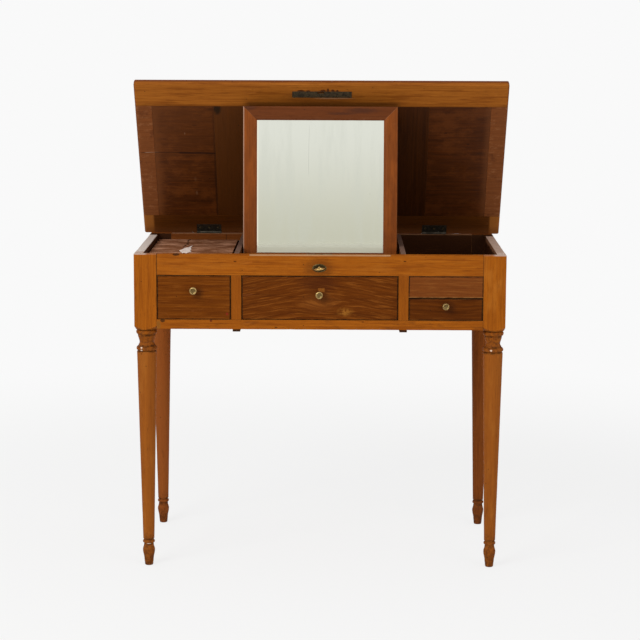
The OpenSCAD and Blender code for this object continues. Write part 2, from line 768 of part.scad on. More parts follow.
// Plate on the backboard with two lugs, and the pin riveted through them
module strut_hinge() color("gold") mirror_place() {
    board([-lug_out, backboard_back, strut_up - lug_r], [lug_out, backboard_back + 1.2, strut_up + 3 * lug_r]);
    on_both_sides() {
        board([lug_in, backboard_back, strut_up - lug_r], [lug_out, strut_out, strut_up + lug_r]);
        bar_x(lug_in, lug_out, strut_out, strut_up, lug_r);
    }
    bar_x(-lug_out, lug_out, strut_out, strut_up, strut_pin_r);
}

module mirror_strut() color("peru") place() translate([mirror_x, strut_y, strut_z])
    rotate([strut_angle, 0, 0]) difference() {
        union() {
            board([-strut_w / 2, -strut_t / 2, -strut_l], [strut_w / 2, strut_t / 2, 0]);
            bar_x(-strut_w / 2, strut_w / 2, 0, 0, strut_t / 2);
        }
        bar_x(-strut_w, strut_w, 0, 0, strut_pin_r + pin_gap);
    }

// ---- Cover of the left compartment

cover_z = case_h - cover_sink - cover_t;
cover_left = -wall_in + 2;
cover_right = -partition_out - cover_gap;
cover_axis = [back_in - board_gap - cover_t / 2, cover_z + cover_t / 2];
cover_pin_l = 4.5;
ledge_h = 8;
ledge_d = 10;

// The board's rear edge is round, so it can turn beside the back
module compartment_cover() color("saddlebrown") place() difference() {
    union() {
        board([cover_left, rail_t + board_gap, cover_z], [cover_right, cover_axis[0], cover_z + cover_t]);
        bar_x(cover_left, cover_right, cover_axis[0], cover_axis[1], cover_t / 2);
    }
    bar_x(cover_left - past, cover_left + cover_pin_l, cover_axis[0], cover_axis[1], cover_pin_r);
    bar_x(cover_right - cover_pin_l, cover_right + past, cover_axis[0], cover_axis[1], cover_pin_r);
}
module cover_pins() color("gray") place() {
    bar_x(-wall_in - cover_pin_l + 0.2, cover_left + cover_pin_l, cover_axis[0], cover_axis[1], cover_pin_r);
    bar_x(cover_right - cover_pin_l, -partition_out + cover_pin_l - 0.2, cover_axis[0], cover_axis[1],
          cover_pin_r);
}
module cover_pin_holes() {
    bar_x(-wall_in - cover_pin_l, -wall_in + past, cover_axis[0], cover_axis[1], cover_pin_r + pin_gap);
    bar_x(-partition_out - past, -partition_out + cover_pin_l, cover_axis[0], cover_axis[1],
          cover_pin_r + pin_gap);
}

// The front of the cover rests on this strip
module cover_ledge() color("saddlebrown") place()
    board([-wall_in, rail_t, cover_z - ledge_h], [-partition_out, rail_t + ledge_d, cover_z]);

// ---- Drawers

// Openings of the drawers: left and right ends, lower and upper edges
left_opening = [-post_in, -bay_out, opening_foot, opening_top];
middle_opening = [-bay_in, bay_in, opening_foot, opening_top];
right_opening = [bay_out, post_in, opening_foot, right_well_z];

drawer_drop = 8;
drawer_l = back_in - drawer_back_gap;
runner_play = 0.3;
bottom_up = 4;
post_r = 3.5;

module drawer_front(opening, knob_at) color("saddlebrown") place() difference() {
    board([opening[0] + front_gap, 0, opening[2] + front_gap / 2],
          [opening[1] - front_gap, front_t, opening[3] - front_gap / 2]);
    translate([knob_at[0], front_t + past, knob_at[1]]) rotate([90, 0, 0])
        cylinder(r = post_r + let_in_gap, h = front_t + 2 * past, $fn = round_fn);
}

// The two sides and the back
module drawer_boards(opening) color("tan") place() {
    left = opening[0] + board_gap;
    right = opening[1] - board_gap;
    low = opening[2] + runner_play;
    high = opening[3] - drawer_drop;
    board([left, front_t, low], [left + side_t, drawer_l, high]);
    board([right - side_t, front_t, low], [right, drawer_l, high]);
    board([left + side_t, drawer_l - side_t, low], [right - side_t, drawer_l, high]);
}

module drawer_bottom(opening) color("burlywood") place()
    board([opening[0] + board_gap + side_t, front_t, opening[2] + bottom_up],
          [opening[1] - board_gap - side_t, drawer_l - side_t, opening[2] + bottom_up + bottom_t]);

// Turned knob: a post through the front, a foot ring, a waist, and a dished head with a raised rim
module knob(at, d) color("gold") place() translate([at[0], 0, at[1]]) rotate([90, 0, 0])
    rotate_extrude($fn = round_fn) polygon(concat(
        [[0, -front_t - 1.5], [post_r, -front_t - 1.5], [post_r, 0], [d * 0.31, 0], [d * 0.31, 1.2]],
        swell(post_r + 0.6, 2, post_r, knob_out * 0.35, 3),
        swell(post_r, knob_out * 0.4, d / 2, knob_out - 4, 5),
        arc([d / 2 - 1.5, knob_out - 1.5], 1.5, 0, 180, 6),
        swell(d / 2 - 3, knob_out - 1.8, 0, knob_out - 3.4, 5)));

left_knob_at = [-left_knob_x, opening_foot + left_knob_z];
middle_knob_at = [lock_x, opening_foot + middle_knob_z];
right_knob_at = [right_knob_x, opening_foot + right_knob_z];

module left_drawer_front() drawer_front(left_opening, left_knob_at);
module left_drawer_boards() drawer_boards(left_opening);
module left_drawer_bottom() drawer_bottom(left_opening);
module left_knob() knob(left_knob_at, knob_d);
module middle_drawer_front() drawer_front(middle_opening, middle_knob_at);
module middle_drawer_boards() drawer_boards(middle_opening);
module middle_drawer_bottom() drawer_bottom(middle_opening);
module middle_knob() knob(middle_knob_at, knob_d);
module right_drawer_front() drawer_front(right_opening, right_knob_at);
module right_drawer_boards() drawer_boards(right_opening);
module right_drawer_bottom() drawer_bottom(right_opening);
module right_knob() knob(right_knob_at, small_knob_d);

leg_front_left();
leg_front_right();
leg_rear_left();
leg_rear_right();
front_top_rail();
rail_slip();
front_bottom_rail();
muntins();
blank_panel();
left_apron();
right_apron();
back_apron();
left_partition();
right_partition();
left_well_floor();
middle_well_floor();
right_well_floor();
runner_bearers();
outer_runners();
inner_runners();
cover_ledge();
lock_case();
escutcheon();
case_hinge_leaves();
case_screws();
lid_top();
lid_front_rail();
lid_back_rail();
lid_end_strips();
lid_left_panel();
lid_middle_panel();
lid_right_panel();
lid_hinge_leaves();
strike_plate();
lid_screws();
hinge_pins();
mirror_pivots();
mirror_stiles();
mirror_top_rail();
mirror_foot_rail();
mirror_glass();
mirror_backboard();
strut_hinge();
mirror_strut();
compartment_cover();
cover_pins();
left_drawer_front();
left_drawer_boards();
left_drawer_bottom();
left_knob();
middle_drawer_front();
middle_drawer_boards();
middle_drawer_bottom();
middle_knob();
right_drawer_front();
right_drawer_boards();
right_drawer_bottom();
right_knob();
key();
lock_bolt();
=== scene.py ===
import math

import bmesh
import bpy
from mathutils import Matrix, Vector, noise


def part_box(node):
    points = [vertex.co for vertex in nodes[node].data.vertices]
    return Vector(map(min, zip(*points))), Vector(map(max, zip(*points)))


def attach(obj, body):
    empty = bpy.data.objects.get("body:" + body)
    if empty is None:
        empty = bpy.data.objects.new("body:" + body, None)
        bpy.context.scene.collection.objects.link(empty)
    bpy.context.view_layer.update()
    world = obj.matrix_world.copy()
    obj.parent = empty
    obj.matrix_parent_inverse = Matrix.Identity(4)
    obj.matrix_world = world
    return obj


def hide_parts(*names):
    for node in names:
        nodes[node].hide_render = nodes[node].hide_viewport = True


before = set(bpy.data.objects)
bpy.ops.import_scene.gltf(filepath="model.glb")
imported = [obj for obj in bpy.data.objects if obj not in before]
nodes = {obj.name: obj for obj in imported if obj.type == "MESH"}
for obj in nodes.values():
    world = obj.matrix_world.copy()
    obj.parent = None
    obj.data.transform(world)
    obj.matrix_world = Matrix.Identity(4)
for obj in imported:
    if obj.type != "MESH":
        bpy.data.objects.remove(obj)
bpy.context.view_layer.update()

# ---- Legs
# Four legs, each one length of honey-coloured fruitwood: a square corner post above, and below it a
# foot, bulb, ring, taper, bead, hollow and collar turned on the lathe. The rails and aprons are
# tenoned into the posts. Worm has been in them, and the feet are dark and chipped.


def sum_of(operation):
    """The method by which Value takes one step of arithmetic."""
    return lambda *values: reckon(operation, *values)


class Value:
    """A number, vector or other value in a node tree, so that sums of sockets are written as sums."""

    __add__ = __radd__ = sum_of("ADD")
    __sub__ = sum_of("SUBTRACT")
    __mul__ = __rmul__ = sum_of("MULTIPLY")
    __truediv__ = sum_of("DIVIDE")
    __abs__ = sum_of("ABSOLUTE")

    def __init__(self, socket):
        self.socket = socket

    def __rsub__(self, other):
        return reckon("SUBTRACT", other, self)


def feed(socket, value):
    """Links a value to a socket, or sets the socket to what is the same all over."""
    if isinstance(value, Value):
        socket.id_data.links.new(value.socket, socket)
    elif socket.type == "RGBA":
        socket.default_value = (*value, 1.0)
    elif socket.type == "VECTOR" and isinstance(value, (int, float)):
        socket.default_value = (value, value, value)
    else:
        socket.default_value = value


def put(tree, kind, feeds=None, **settings):
    """Adds a node, sets its properties and feeds its sockets."""
    made = tree.nodes.new(kind)
    for name, value in settings.items():
        setattr(made, name, value)
    for socket, value in (feeds or {}).items():
        feed(made.inputs[socket], value)
    return made


def read(tree, kind, feeds=None, output=0, **settings):
    """The value that a new node gives."""
    return Value(put(tree, kind, feeds, **settings).outputs[output])


def reckon(operation, *values):
    """One step of arithmetic, on vectors where one of the values is a vector."""
    sockets = [value.socket for value in values if isinstance(value, Value)]
    vectors = any(socket.type == "VECTOR" for socket in sockets)
    kind = "ShaderNodeVectorMath" if vectors else "ShaderNodeMath"
    output = "Vector" if vectors and operation not in ("LENGTH", "DOT_PRODUCT") else "Value"
    return read(sockets[0].id_data, kind, dict(enumerate(values)), output, operation=operation)


def parts(vector):
    """The three parts of a vector."""
    split = put(vector.socket.id_data, "ShaderNodeSeparateXYZ", {0: vector})
    return [Value(socket) for socket in split.outputs]


def ramp(value, low, high, start=0.0, end=1.0):
    """Brings a value between low and high to between start and end, softly and without overrun."""
    feeds = {0: value, 1: low, 2: high, 3: start, 4: end}
    return read(value.socket.id_data, "ShaderNodeMapRange", feeds, interpolation_type="SMOOTHSTEP")


def band(value, low, high, soft):
    """One where the value lies between low and high."""
    return ramp(value, low - soft, low + soft) * ramp(value, high + soft, high - soft)


def cloudy(vector, stretch, detail=2.0, rough=0.5):
    """Noise whose lumps are drawn out along the axes where stretch is small."""
    feeds = {"Vector": vector * stretch, "Scale": 1.0, "Detail": detail, "Roughness": rough}
    return read(vector.socket.id_data, "ShaderNodeTexNoise", feeds)


def tint(mask, under, over):
    """Lays one colour over another where the mask says."""
    return read(mask.socket.id_data, "ShaderNodeMix", {0: mask, 6: under, 7: over}, 2, data_type="RGBA")


def effect(name, takes, gives, kind="Shader"):
    """Starts a node group, and returns it with the values it takes and the sockets it gives through."""
    group = bpy.data.node_groups.new(name, kind + "NodeTree")
    for label, start in takes.items():
        sort = start if isinstance(start, str) else "Vector" if isinstance(start, tuple) else "Float"
        socket = group.interface.new_socket(label, in_out="INPUT", socket_type="NodeSocket" + sort)
        if sort != start:
            socket.default_value = start
    sort = "NodeSocketFloat" if kind == "Shader" else "NodeSocketGeometry"
    for label in gives:
        group.interface.new_socket(label, in_out="OUTPUT", socket_type=sort)
    sockets = group.nodes.new("NodeGroupInput").outputs
    taken = {label: Value(sockets[label]) for label in takes}
    return group, taken, group.nodes.new("NodeGroupOutput").inputs


def use(tree, group, **feeds):
    """Places a node group in a material, and returns what it gives."""
    made = put(tree, "ShaderNodeGroup", feeds, node_tree=group)
    return {socket.name: Value(socket) for socket in made.outputs}


# Grain of a sawn board that runs along X: yearly rings round a pith, fibres, pores and cloudy stain
sawn_grain, take, give = effect(
    "sawn_grain",
    {"Vector": (0, 0, 0), "Pith": (0, -0.2, -0.06), "Spacing": 0.005, "Wander": 0.006, "Swell": 0.0,
     "Arch": 0.0},
    ["Rings", "Fibre", "Pores", "Mottle", "Figure", "Streaks"])
lengthwise = parts(take["Vector"])[0]
drift = cloudy(take["Vector"], (2.2, 13.0, 13.0), 3.0, 0.55) - 0.5
out = reckon("LENGTH", (take["Vector"] - take["Pith"]) * (0, 1, 1)) + take["Swell"] + drift * take["Wander"]
out = out + reckon("SQRT", lengthwise * lengthwise + 0.0009) * take["Arch"]
rings = {"W": out / take["Spacing"], "Scale": 1.0, "Detail": 2.5, "Roughness": 0.6}
feed(give["Rings"], ramp(read(sawn_grain, "ShaderNodeTexNoise", rings, noise_dimensions="1D"), 0.32, 0.68))
followed = read(sawn_grain, "ShaderNodeCombineXYZ", {0: lengthwise * 17.0, 1: out * 300.0})
for label, vector, stretch, detail, rough, low, high in (
        ("Figure", followed, 1.0, 4.0, 0.6, 0.48, 0.68),
        ("Streaks", take["Vector"], (7, 105, 105), 3.0, 0.6, 0.51, 0.64),
        ("Fibre", take["Vector"], (9, 330, 330), 4.0, 0.65, 0.3, 0.7),
        ("Pores", take["Vector"], (36, 1100, 1100), 1.0, 0.5, 0.6, 0.72),
        ("Mottle", take["Vector"], (3.5, 17, 17), 3.0, 0.6, 0.3, 0.7)):
    feed(give[label], ramp(cloudy(vector, stretch, detail, rough), low, high))

# A knot: the rings swell round it, and its core is dark
knot_grain, take, give = effect(
    "knot_grain", {"Vector": (0, 0, 0), "Centre": (0, 0, 0), "Reach": 0.02}, ["Swell", "Core"])
near = reckon("LENGTH", (take["Vector"] - take["Centre"]) * (0.4, 1, 0)) / take["Reach"]
feed(give["Swell"], reckon("EXPONENT", near * near * -1.0) * take["Reach"])
feed(give["Core"], ramp(near, 0.34, 0.12))

# Wear: arrises rubbed bare, by how far the surface turns within reach, broken up by noise
edge_wear, take, give = effect("edge_wear", {"Vector": (0, 0, 0), "Reach": 0.0022, "Spread": 0.5}, ["Edge"])
rounded = read(edge_wear, "ShaderNodeBevel", {"Radius": take["Reach"]}, samples=4)
flat = read(edge_wear, "ShaderNodeNewGeometry", output="True Normal")
patch = ramp(cloudy(take["Vector"], (30, 60, 60), 4.0, 0.7), 0.62, 0.3, 0.0, 7.0)
rubbed = reckon("MINIMUM", (1.0 - reckon("DOT_PRODUCT", rounded, flat)) * patch, 1.0)
feed(give["Edge"], rubbed * take["Spread"])

# Marks of use: fine scratches, worm holes and dull rubbing
use_marks, take, give = effect(
    "use_marks", {"Vector": (0, 0, 0), "Scratches": 0.3, "Worm": 0.2}, ["Scratch", "Hole", "Rub"])
scratch = 0.0
for slant, stretch in ((0.35, (5, 34, 34)), (-0.9, (6, 28, 28)), (0.04, (3, 60, 60))):
    aslant = read(use_marks, "ShaderNodeMapping", {"Vector": take["Vector"], "Rotation": (0, 0, slant)})
    line = ramp(abs(cloudy(aslant, stretch, 0.0) - 0.5), 0.006, 0.001)
    scratch = reckon("MAXIMUM", line * ramp(cloudy(aslant, 14, 1.0), 0.56, 0.62), scratch)
feed(give["Scratch"], scratch * take["Scratches"])
cells = put(use_marks, "ShaderNodeTexVoronoi", {"Vector": take["Vector"], "Scale": 46.0}).outputs
bored = reckon("LESS_THAN", parts(Value(cells["Color"]))[0], take["Worm"])
feed(give["Hole"], ramp(Value(cells["Distance"]), 0.062, 0.04) * bored)
feed(give["Rub"], ramp(cloudy(take["Vector"], (9, 14, 14), 4.0, 0.7), 0.52, 0.7))


class Coat:
    """A material whose colour is built up layer by layer over the object's own coordinates."""

    def __init__(self, name, colour):
        self.made = bpy.data.materials.new(name)
        self.made.use_nodes = True
        self.tree = self.made.node_tree
        self.shader = self.tree.nodes["Principled BSDF"].inputs
        self.place = read(self.tree, "ShaderNodeTexCoord", output="Object")
        self.x, self.y, self.z = parts(self.place)
        self.colour = colour

    def lay(self, mask, shade, strength=1.0):
        """Lays a shade over the colour where the mask says."""
        self.colour = tint(mask * strength, self.colour, shade)

    def cloud(self, stretch, low, high, most=1.0, least=0.0, detail=4.0, rough=0.7):
        """Ragged patches, from least to most strong."""
        return ramp(cloudy(self.place, stretch, detail, rough), low, high, least, most)

    def near(self, centre, radii, soft=0.35):
        """A soft ragged oval round a point of the table."""
        away = reckon("LENGTH", (self.place - centre) * [1 / radius for radius in radii])
        ragged = cloudy(self.place, 160, 3.0, 0.6) * 0.7 - 0.35
        return ramp(away + ragged, 1.0 + soft, 1.0 - soft)

    def spot(self, centre, radii, shade, strength=1.0, soft=0.35):
        """Lays a shade round a point of the table."""
        self.lay(self.near(centre, radii, soft), shade, strength)

    def finished(self, rough, plain, height=None, relief=0.0, depth=0.0):
        """Joins colour, roughness and relief to the shader, and sets what is plain all over."""
        feed(self.shader["Base Color"], self.colour)
        feed(self.shader["Roughness"], rough)
        for label, value in plain.items():
            self.shader[label].default_value = value
        if height:
            bump = {"Height": height, "Strength": relief, "Distance": depth}
            feed(self.shader["Normal"], read(self.tree, "ShaderNodeBump", bump))
        return self.made


def wood(name, light, dark, along=(1, 0, 0), face=(0, -1, 0), centre=(0, 0, 0), pith=(0, -0.2, -0.06),
         spacing=0.005, wander=0.008, rings=0.6, fibre=0.5, pores=0.35, mottle=0.35, worn=(0.42, 0.2, 0.06),
         wear=0.4, reach=0.0022, scratches=0.1, worm=0.2, gloss=0.55, shine=0.05, knots=(), arch=0.0,
         figure=0.0, gleam=(0.42, 0.16, 0.03), streaks=0.3, finish=None):
    """A board's material: its grain runs along, and its sawn face looks towards face. knots are (place,
    reach, darkness), and finish(coat) adds the marks that only this piece has."""
    coat = Coat(name, light)
    tree = coat.tree
    x, z = Vector(along).normalized(), Vector(face).normalized()
    turn = Matrix((x, z.cross(x), z))
    shift = -(turn @ Vector(centre))
    sawn = {"Vector": coat.place, "Rotation": turn.to_euler("XYZ"), "Location": shift}
    vector = read(tree, "ShaderNodeMapping", sawn)
    swell = core = 0.0
    for spot, knot_reach, darkness in knots:
        knot = use(tree, knot_grain, Vector=vector, Centre=turn @ Vector(spot) + shift, Reach=knot_reach)
        swell = knot["Swell"] + swell
        core = reckon("MAXIMUM", knot["Core"] * darkness, core)
    grain = use(tree, sawn_grain, Vector=vector, Pith=pith, Spacing=spacing, Wander=wander, Swell=swell,
                Arch=arch)
    marks = use(tree, use_marks, Vector=vector, Scratches=scratches, Worm=worm)
    edge = use(tree, edge_wear, Vector=vector, Reach=reach, Spread=wear)["Edge"]
    middling = tuple(math.sqrt(a * b) for a, b in zip(light, dark))
    deep = tuple(c * 0.35 for c in dark)
    for label, shade, strength in (
            ("Rings", middling, rings), ("Fibre", dark, fibre), ("Mottle", middling, mottle),
            ("Figure", gleam, figure), ("Streaks", dark, streaks), ("Pores", deep, pores)):
        coat.lay(grain[label], shade, strength)
    if knots:
        coat.lay(core, deep)
    if finish:
        finish(coat)
    coat.lay(edge, worn)
    coat.lay(marks["Scratch"], tuple(min(1, c * 1.5 + 0.02) for c in light))
    coat.lay(marks["Hole"], (0.012, 0.005, 0.002))
    rough = marks["Rub"] * -0.12 + (gloss + 0.06) + edge * 0.15
    height = grain["Pores"] * -0.5 - grain["Fibre"] * 0.4 - marks["Scratch"] - marks["Hole"]
    return coat.finished(rough, {"Specular IOR Level": shine}, height, 0.5, 0.0004)


def cad_copy(names):
    """The shapes of these nodes as one clean bmesh, with whole faces instead of triangles."""
    shape = bmesh.new()
    for name in names:
        shape.from_mesh(nodes[name].data)
    bmesh.ops.remove_doubles(shape, verts=shape.verts, dist=2e-6)
    bmesh.ops.dissolve_limit(shape, angle_limit=0.004, verts=shape.verts, edges=shape.edges)
    return shape


def cut(shape, at, normal, away=False):
    """Cuts a shape along a plane, and throws away what lies beyond it where that is asked."""
    everything = shape.verts[:] + shape.edges[:] + shape.faces[:]
    bmesh.ops.bisect_plane(shape, geom=everything, dist=1e-6, plane_co=at, plane_no=normal, clear_outer=away)


def break_arrises(shape, arris, every=0.0, dent=0.0, seed=1):
    """Takes the sharpness off the outer edges, and gives them the dents of long use."""
    shape.normal_update()
    edges = [e for e in shape.edges if len(e.link_faces) == 2 and e.is_convex and e.calc_face_angle(0) > 0.5]
    bmesh.ops.bevel(shape, geom=edges, offset=arris, segments=2, profile=0.6, affect="EDGES",
                    clamp_overlap=True)
    if every:
        low = [min(v.co[i] for v in shape.verts) for i in range(3)]
        high = [max(v.co[i] for v in shape.verts) for i in range(3)]
        for axis in range(3):
            steps = int((high[axis] - low[axis]) / every)
            normal = Vector([axis == i for i in range(3)])
            for step in range(1, steps):
                cut(shape, normal * (low[axis] + (high[axis] - low[axis]) * step / steps), normal)
    shape.normal_update()
    moves = []
    for vert in shape.verts if dent else ():
        bend = max((e.calc_face_angle(0) for e in vert.link_edges if len(e.link_faces) == 2), default=0)
        if bend > 0.2:
            lump = noise.noise(vert.co * 55 + Vector((seed * 7.3, 0, 0)))
            chip = noise.noise(vert.co * 170 + Vector((0, seed * 3.1, 0)))
            moves.append((vert, vert.normal * -dent * (max(0, lump) + 1.6 * max(0, chip - 0.25))))
    for vert, move in moves:
        vert.co += move


def piece(name, shape, material, body, replaced, smooth=0.6):
    """Makes the finished mesh an object that rides on its body and stands for its nodes."""
    mesh = bpy.data.meshes.new(name)
    shape.to_mesh(mesh)
    shape.free()
    mesh.materials.append(material)
    mesh.polygons.foreach_set("use_smooth", [True] * len(mesh.polygons))
    mesh.set_sharp_from_angle(angle=smooth)
    thing = bpy.data.objects.new(name, mesh)
    bpy.context.scene.collection.objects.link(thing)
    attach(thing, body)
    if replaced:
        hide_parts(*replaced)
    even = thing.modifiers.new("even_faces", "WEIGHTED_NORMAL")
    even.mode = "FACE_AREA"
    even.keep_sharp = True
    return thing


def board(name, material, body, node, arris=0.0011, every=0.014, dent=0.0005, seed=1):
    """A piece made from its solid, with broken and dented arrises."""
    shape = cad_copy([node])
    break_arrises(shape, arris, every, dent, seed)
    return piece(name, shape, material, body, [node])


# The lathe: an outline of (radius, 0, height) points turned about Z
lathe, take, give = effect("lathe", {"Outline": "Geometry", "Facets": "Int", "Foot": "Vector", "Rub": "Float",
                                     "Finish": "Material"}, ["Turned"], "Geometry")
count = read(lathe, "GeometryNodeAttributeDomainSize", {0: take["Outline"]}, "Point Count")
index = read(lathe, "GeometryNodeInputIndex")
here = read(lathe, "GeometryNodeInputPosition")
point = read(lathe, "GeometryNodeSampleIndex",
             {"Geometry": take["Outline"], "Value": here, "Index": reckon("MODULO", index, count) + 0.1},
             data_type="FLOAT_VECTOR", domain="POINT")
radius, _, height = parts(point)
angle = reckon("FLOOR", (index + 0.5) / count) / take["Facets"] * math.tau
ring = {0: radius * reckon("COSINE", angle), 1: radius * reckon("SINE", angle), 2: height}
lumps = read(lathe, "ShaderNodeTexNoise", {"Vector": here + take["Foot"], "Scale": 60.0, "Detail": 3.0})
inward = (reckon("MINIMUM", lumps, 0.5) - 0.5) * take["Rub"]
shaped = read(lathe, "GeometryNodeMeshGrid", {"Vertices X": take["Facets"] + 1.0, "Vertices Y": count})
for kind, feeds in (("GeometryNodeSetPosition", {"Position": read(lathe, "ShaderNodeCombineXYZ", ring)}),
                    ("GeometryNodeMergeByDistance", {"Distance": 1e-6}),
                    ("GeometryNodeSetPosition", {"Offset": reckon("NORMALIZE", here * (1, 1, 0)) * inward}),
                    ("GeometryNodeTransform", {"Translation": take["Foot"]}),
                    ("GeometryNodeRealizeInstances", {}),
                    ("GeometryNodeSetMaterial", {"Material": take["Finish"]})):
    shaped = read(lathe, kind, {"Geometry": shaped, **feeds})
feed(give["Turned"], shaped)


def grown(base, tree, **settings):
    """Runs a node tree on a mesh with its named inputs set, and returns the plain mesh that comes out."""
    holder = bpy.data.objects.new("holder", base)
    bpy.context.scene.collection.objects.link(holder)
    work = holder.modifiers.new("work", "NODES")
    work.node_group = tree
    for item in tree.interface.items_tree:
        if item.in_out == "INPUT" and item.name in settings:
            work[item.identifier] = settings[item.name]
    holder.update_tag()
    bpy.context.view_layer.update()
    done = bpy.data.meshes.new_from_object(holder.evaluated_get(bpy.context.evaluated_depsgraph_get()))
    holder.modifiers.remove(work)
    bpy.data.objects.remove(holder)
    return done


def turned(outline, foot, material, facets, rub=0.0):
    """Turned work, from (radius, height) pairs in millimetres."""
    line = bpy.data.meshes.new("outline")
    points = [(r / 1000, 0, z / 1000) for r, z in outline]
    line.from_pydata(points, [(i, i + 1) for i in range(len(points) - 1)], [])
    shape = bmesh.new()
    shape.from_mesh(grown(line, lathe, Facets=facets, Foot=foot, Rub=rub, Finish=material))
    bmesh.ops.recalc_face_normals(shape, faces=shape.faces)
    return shape


def arc(centre, radius, start, end, steps=10):
    """Points of an arc, in degrees, in an outline."""
    angles = [math.radians(start + (end - start) * i / steps) for i in range(steps + 1)]
    return [(centre[0] + radius * math.cos(a), centre[1] + radius * math.sin(a)) for a in angles]


def swell_line(r0, z0, r1, z1, steps=10):
    """Points of an s-shaped swell between two radii."""
    return [(r0 + (r1 - r0) * (1 - math.cos(math.pi * i / steps)) / 2, z0 + (z1 - z0) * i / steps)
            for i in range(steps + 1)]


def middle(node):
    """The middle of a node's box."""
    low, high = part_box(node)
    return (low + high) / 2


block_foot = 580.0
leg_outline = ([(0, 0.6), (8.8, 0.0), (9.8, 1.2)]
               + swell_line(11.2, 14, 14.6, 38) + swell_line(14.6, 38, 12.0, 51)[1:]
               + arc((10.0, 59), 4.5, -75, 75) + [(13.5, 66)]
               + [(13.5 + 10 * i / 24, 66 + 460 * i / 24) for i in range(1, 25)]
               + [(21.5, 527.5)] + arc((18.7, 534), 6, -80, 80)
               + swell_line(20, 540.5, 17, 548) + swell_line(17, 548, 21, 566.5)[1:]
               + arc((18.5, 573.3), 6.5, -80, 80) + [(22, block_foot + 1), (0, block_foot + 1)])
groove_heights = (0.0535, 0.0655, 0.5275, 0.5405, 0.5665, 0.5800)
rim_low, rim_high = 0.7607, 0.77
honey = (0.385, 0.109, 0.0055)
honey_dark = (0.17, 0.036, 0.002)


def leg_grime(coat):
    """Dark wax lies in the turned grooves, and the collars and feet are dirty."""
    dark = ramp(coat.z, 0.05, 0.008, 0.0, 0.55)
    for groove in groove_heights:
        dark = reckon("MAXIMUM", dark, ramp(abs(coat.z - groove), 0.0048, 0.0004, 0.0, 0.8))
    dirty = reckon("MAXIMUM", band(coat.z, 0.528, 0.579, 0.003), ramp(coat.z, 0.105, 0.050))
    coat.lay(coat.cloud(150, 0.42, 0.60, 0.75, 0.15) * dirty, (0.120, 0.034, 0.007))
    coat.lay(coat.cloud((70, 70, 18), 0.6, 0.74, 0.45), (0.10, 0.025, 0.004))
    coat.lay(coat.cloud((90, 90, 70), 0.40, 0.61, 1.0, 0.1) * dark, (0.035, 0.011, 0.003))


def front_leg_marks(coat):
    """Thin finish, painted sheen on the tops, painted highlights on the beads, and a bare chip on the left
    foot's ring.
    """
    coat.lay(coat.cloud((34, 34, 9), 0.52, 0.68, 0.3, 0.0, 3.0, 0.6), (0.47, 0.165, 0.020))
    coat.lay(ramp(coat.z, 0.59, 0.52), (0.235, 0.074, 0.016), 0.4)
    leg_grime(coat)
    # Painted sheen on the tops, stronger on the outer side.
    outer = ramp(abs(coat.x), 0.406, 0.416, 0.1, 0.75)
    coat.lay(band(coat.z, rim_low, rim_high, 0.0007) * outer, (0.62, 0.50, 0.43))
    # Pale spots: the three on the beads are painted highlights, and the last is a bare chip on the left
    # foot's ring.
    for name, across, height, width, tall in (("leg_front_left", -0.0108, 0.5370, 0.0024, 0.0018),
                                              ("leg_front_left", -0.0108, 0.5305, 0.0024, 0.0018),
                                              ("leg_front_right", -0.0060, 0.5345, 0.0026, 0.0020),
                                              ("leg_front_left", 0.0005, 0.0550, 0.0066, 0.0014)):
        chip = (middle(name).x + across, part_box(name)[0].y, height)
        coat.spot(chip, (width, 0.03, tall), (0.90, 0.72, 0.56), 0.8, 0.3)


def rear_leg_marks(coat):
    """The left rear leg is painted lighter, as lit from the left, and their faces inside the wells are
    painted nearly black with shade.
    """
    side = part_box("leg_rear_right")[1].x
    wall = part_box("back_apron")[0].y
    # Painted light: the left rear leg is laid lighter, as lit from the left.
    coat.lay(ramp(coat.x, 0.1, -0.1), (0.33, 0.092, 0.018), 0.5)
    leg_grime(coat)
    # Painted shade: the faces inside the wells are laid nearly black.
    inner = ramp(coat.y, wall + 0.0016, wall + 0.0010) * ramp(abs(coat.x), side - 0.0006, side - 0.0012)
    coat.lay(inner * ramp(coat.z, 0.608, 0.612), (0.026, 0.009, 0.003), 0.95)


leg_common = dict(along=(0, 0, 1), pith=(0, 0.0, 0.03), spacing=0.010, rings=0.3)
front_leg_wood = wood("honey_leg_wood", honey, honey_dark, worm=0.9, fibre=0.4, worn=(0.45, 0.17, 0.03),
                      wear=0.45, mottle=0.45, finish=front_leg_marks, **leg_common)
rear_leg_wood = wood("red_leg_wood", (0.235, 0.064, 0.009), (0.112, 0.025, 0.004), worm=0.7,
                     worn=(0.30, 0.10, 0.02), mottle=0.5, finish=rear_leg_marks, **leg_common)
for number, place in enumerate(("front_left", "front_right", "rear_left", "rear_right"), 1):
    material = front_leg_wood if "front" in place else rear_leg_wood
    post = cad_copy(["leg_" + place])
    cut(post, (0, 0, block_foot / 1000 + 2e-4), (0, 0, -1), away=True)
    bmesh.ops.holes_fill(post, edges=[e for e in post.edges if e.is_boundary])
    break_arrises(post, 0.0013, 0.016, 0.0007, number)
    centre = middle("leg_" + place)
    turned_part = turned(leg_outline, (centre.x, centre.y, 0), material, 72, 0.0012)
    held = bpy.data.meshes.new("held")
    turned_part.to_mesh(held)
    turned_part.free()
    post.from_mesh(held)
    piece(place + "_leg", post, material, "case", ["leg_" + place])

# ---- Front rails
# Two rails between the front posts, of the same honey wood with the grain lengthwise: a deep one over
# the drawers, with the lock mortised into it, and a narrow one under them. Both are tenoned and glued.

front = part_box("front_top_rail")[0].y


